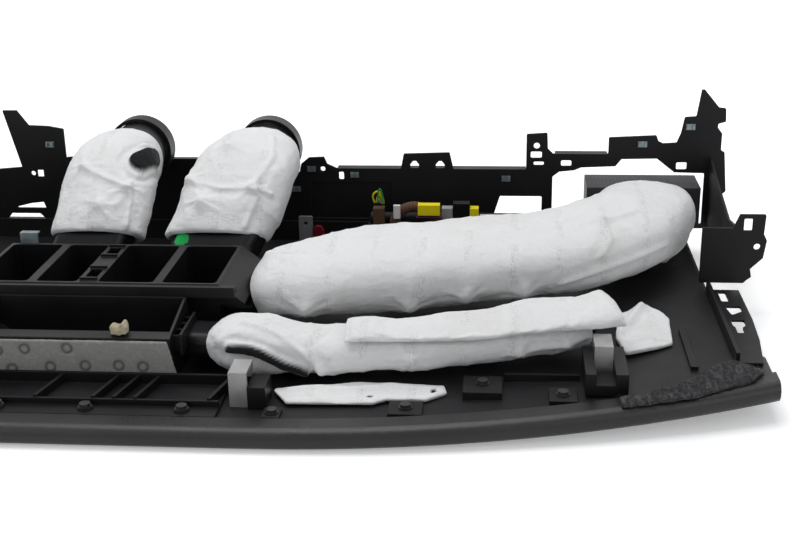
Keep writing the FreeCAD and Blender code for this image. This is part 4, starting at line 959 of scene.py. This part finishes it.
# Round weld marks of the trough's felt: X in mm, and the share of the felt's height
WELDS = [(-76, 0.7), (-46, 0.75), (0, 0.78), (-20, 0.36), (18, 0.4), (54, 0.42), (80, 0.4), (-62, 0.3)]


def make_trough_felt():
    """The grey felt on the trough, with its round weld marks pressed in."""
    obj = felt_piece("trough_felt", "felt_manifold", "grey_felt", 1.4, 0.25, 900, 4)
    points, facing = coordinates(obj), normals(obj)
    low, high = points[:, 2].min(), points[:, 2].max()
    dark = np.zeros(len(points))
    for x, share in WELDS:
        gap = np.hypot(points[:, 0] - x, points[:, 2] - low - share * (high - low))
        pressed = 1.0 * np.exp(-((gap / 9.0) ** 2)) + 0.9 * np.exp(-(((gap - 5.5) / 1.3) ** 2))
        points -= facing * pressed[:, None]
        dark = np.maximum(dark, 0.75 * np.exp(-(((gap - 5.0) / 1.4) ** 2)))
    keep_values(obj, "opened", dark)
    move_to(obj, points)
    dress(obj, "felt_manifold")


def make_foam():
    """The torn chunk of foam on the trough's rim."""
    obj = remeshed("torn_foam", "foam_plug", 1.2, STYLES["beige_foam"])
    points, facing = coordinates(obj), normals(obj)
    points += facing * (2.4 * lumps(points, 9, 3.3) + 1.2 * lumps(points, 3.5, 5.3))[:, None]
    move_to(obj, points)
    dress(obj, "foam_plug")


corner = felt_piece("corner_felt", "felt_corner", "dark_felt", 1.6, 1.0, 2600, 9)
dress(corner, "felt_corner")
make_trough_felt()
make_foam()


# Short wires of the harness, between its plugs

def make_wires(name, style, lines, radius):
    """Thin tubes along smooth lines, joined in one piece; some colours aren't in the record."""
    made, faces = [], []
    around = 8
    for line in lines:
        path = smooth_line([(*p, 0, 0) for p in line], 14)[:, :3]
        ways = run_ways(np.hstack([path, np.zeros((len(path), 2))]))
        for centre, way in zip(path, ways):
            first = np.cross(way, (0.21, 0.93, 0.3))
            first /= np.linalg.norm(first)
            second = np.cross(way, first)
            for k in range(around):
                a = 2 * math.pi * k / around
                made.append(centre + radius * (first * math.cos(a) + second * math.sin(a)))
        start = len(made) - len(path) * around
        faces += [tuple(start + v for v in face) for face in grid_faces(len(path), around, False, True)]
        faces.append(tuple(start + k for k in reversed(range(around))))
        faces.append(tuple(start + (len(path) - 1) * around + k for k in range(around)))
    obj = new_mesh(name, np.array(made) * MM, faces, STYLES[style])
    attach(obj, "root")


def hoop(x0, x1, y, top, lean):
    """A wire that leaves one plug's top and goes down into the harness."""
    crest = ((x0 + x1) / 2, y - 3, top)
    return [(x0, y, 91), (x0 + lean, y - 1, top - 6), crest, (x1, y, top - 9), (x1 + 1, y + 1, 89)]


make_wires("wires_yellow", "yellow_plastic", [hoop(283, 294, 211, 108, -2), hoop(286, 293, 213, 103, 1)], 1.3)
make_wires("wires_green", "green_plastic", [hoop(288, 294, 209, 112, 0)], 1.1)
make_wires("wires_white", "white_plastic", [hoop(284, 291, 215, 99, 1)], 1.0)
BUNDLE = [
    [(340, y, 75.5), (352, y - 1, 76.5), (364, y, 76), (374, y + 3, 74)]
    for y in (196, 198, 200)
]
make_wires("wires_purple", "purple_plastic", BUNDLE[:2], 1.4)
make_wires("wires_red", "red_plastic", BUNDLE[2:], 1.3)
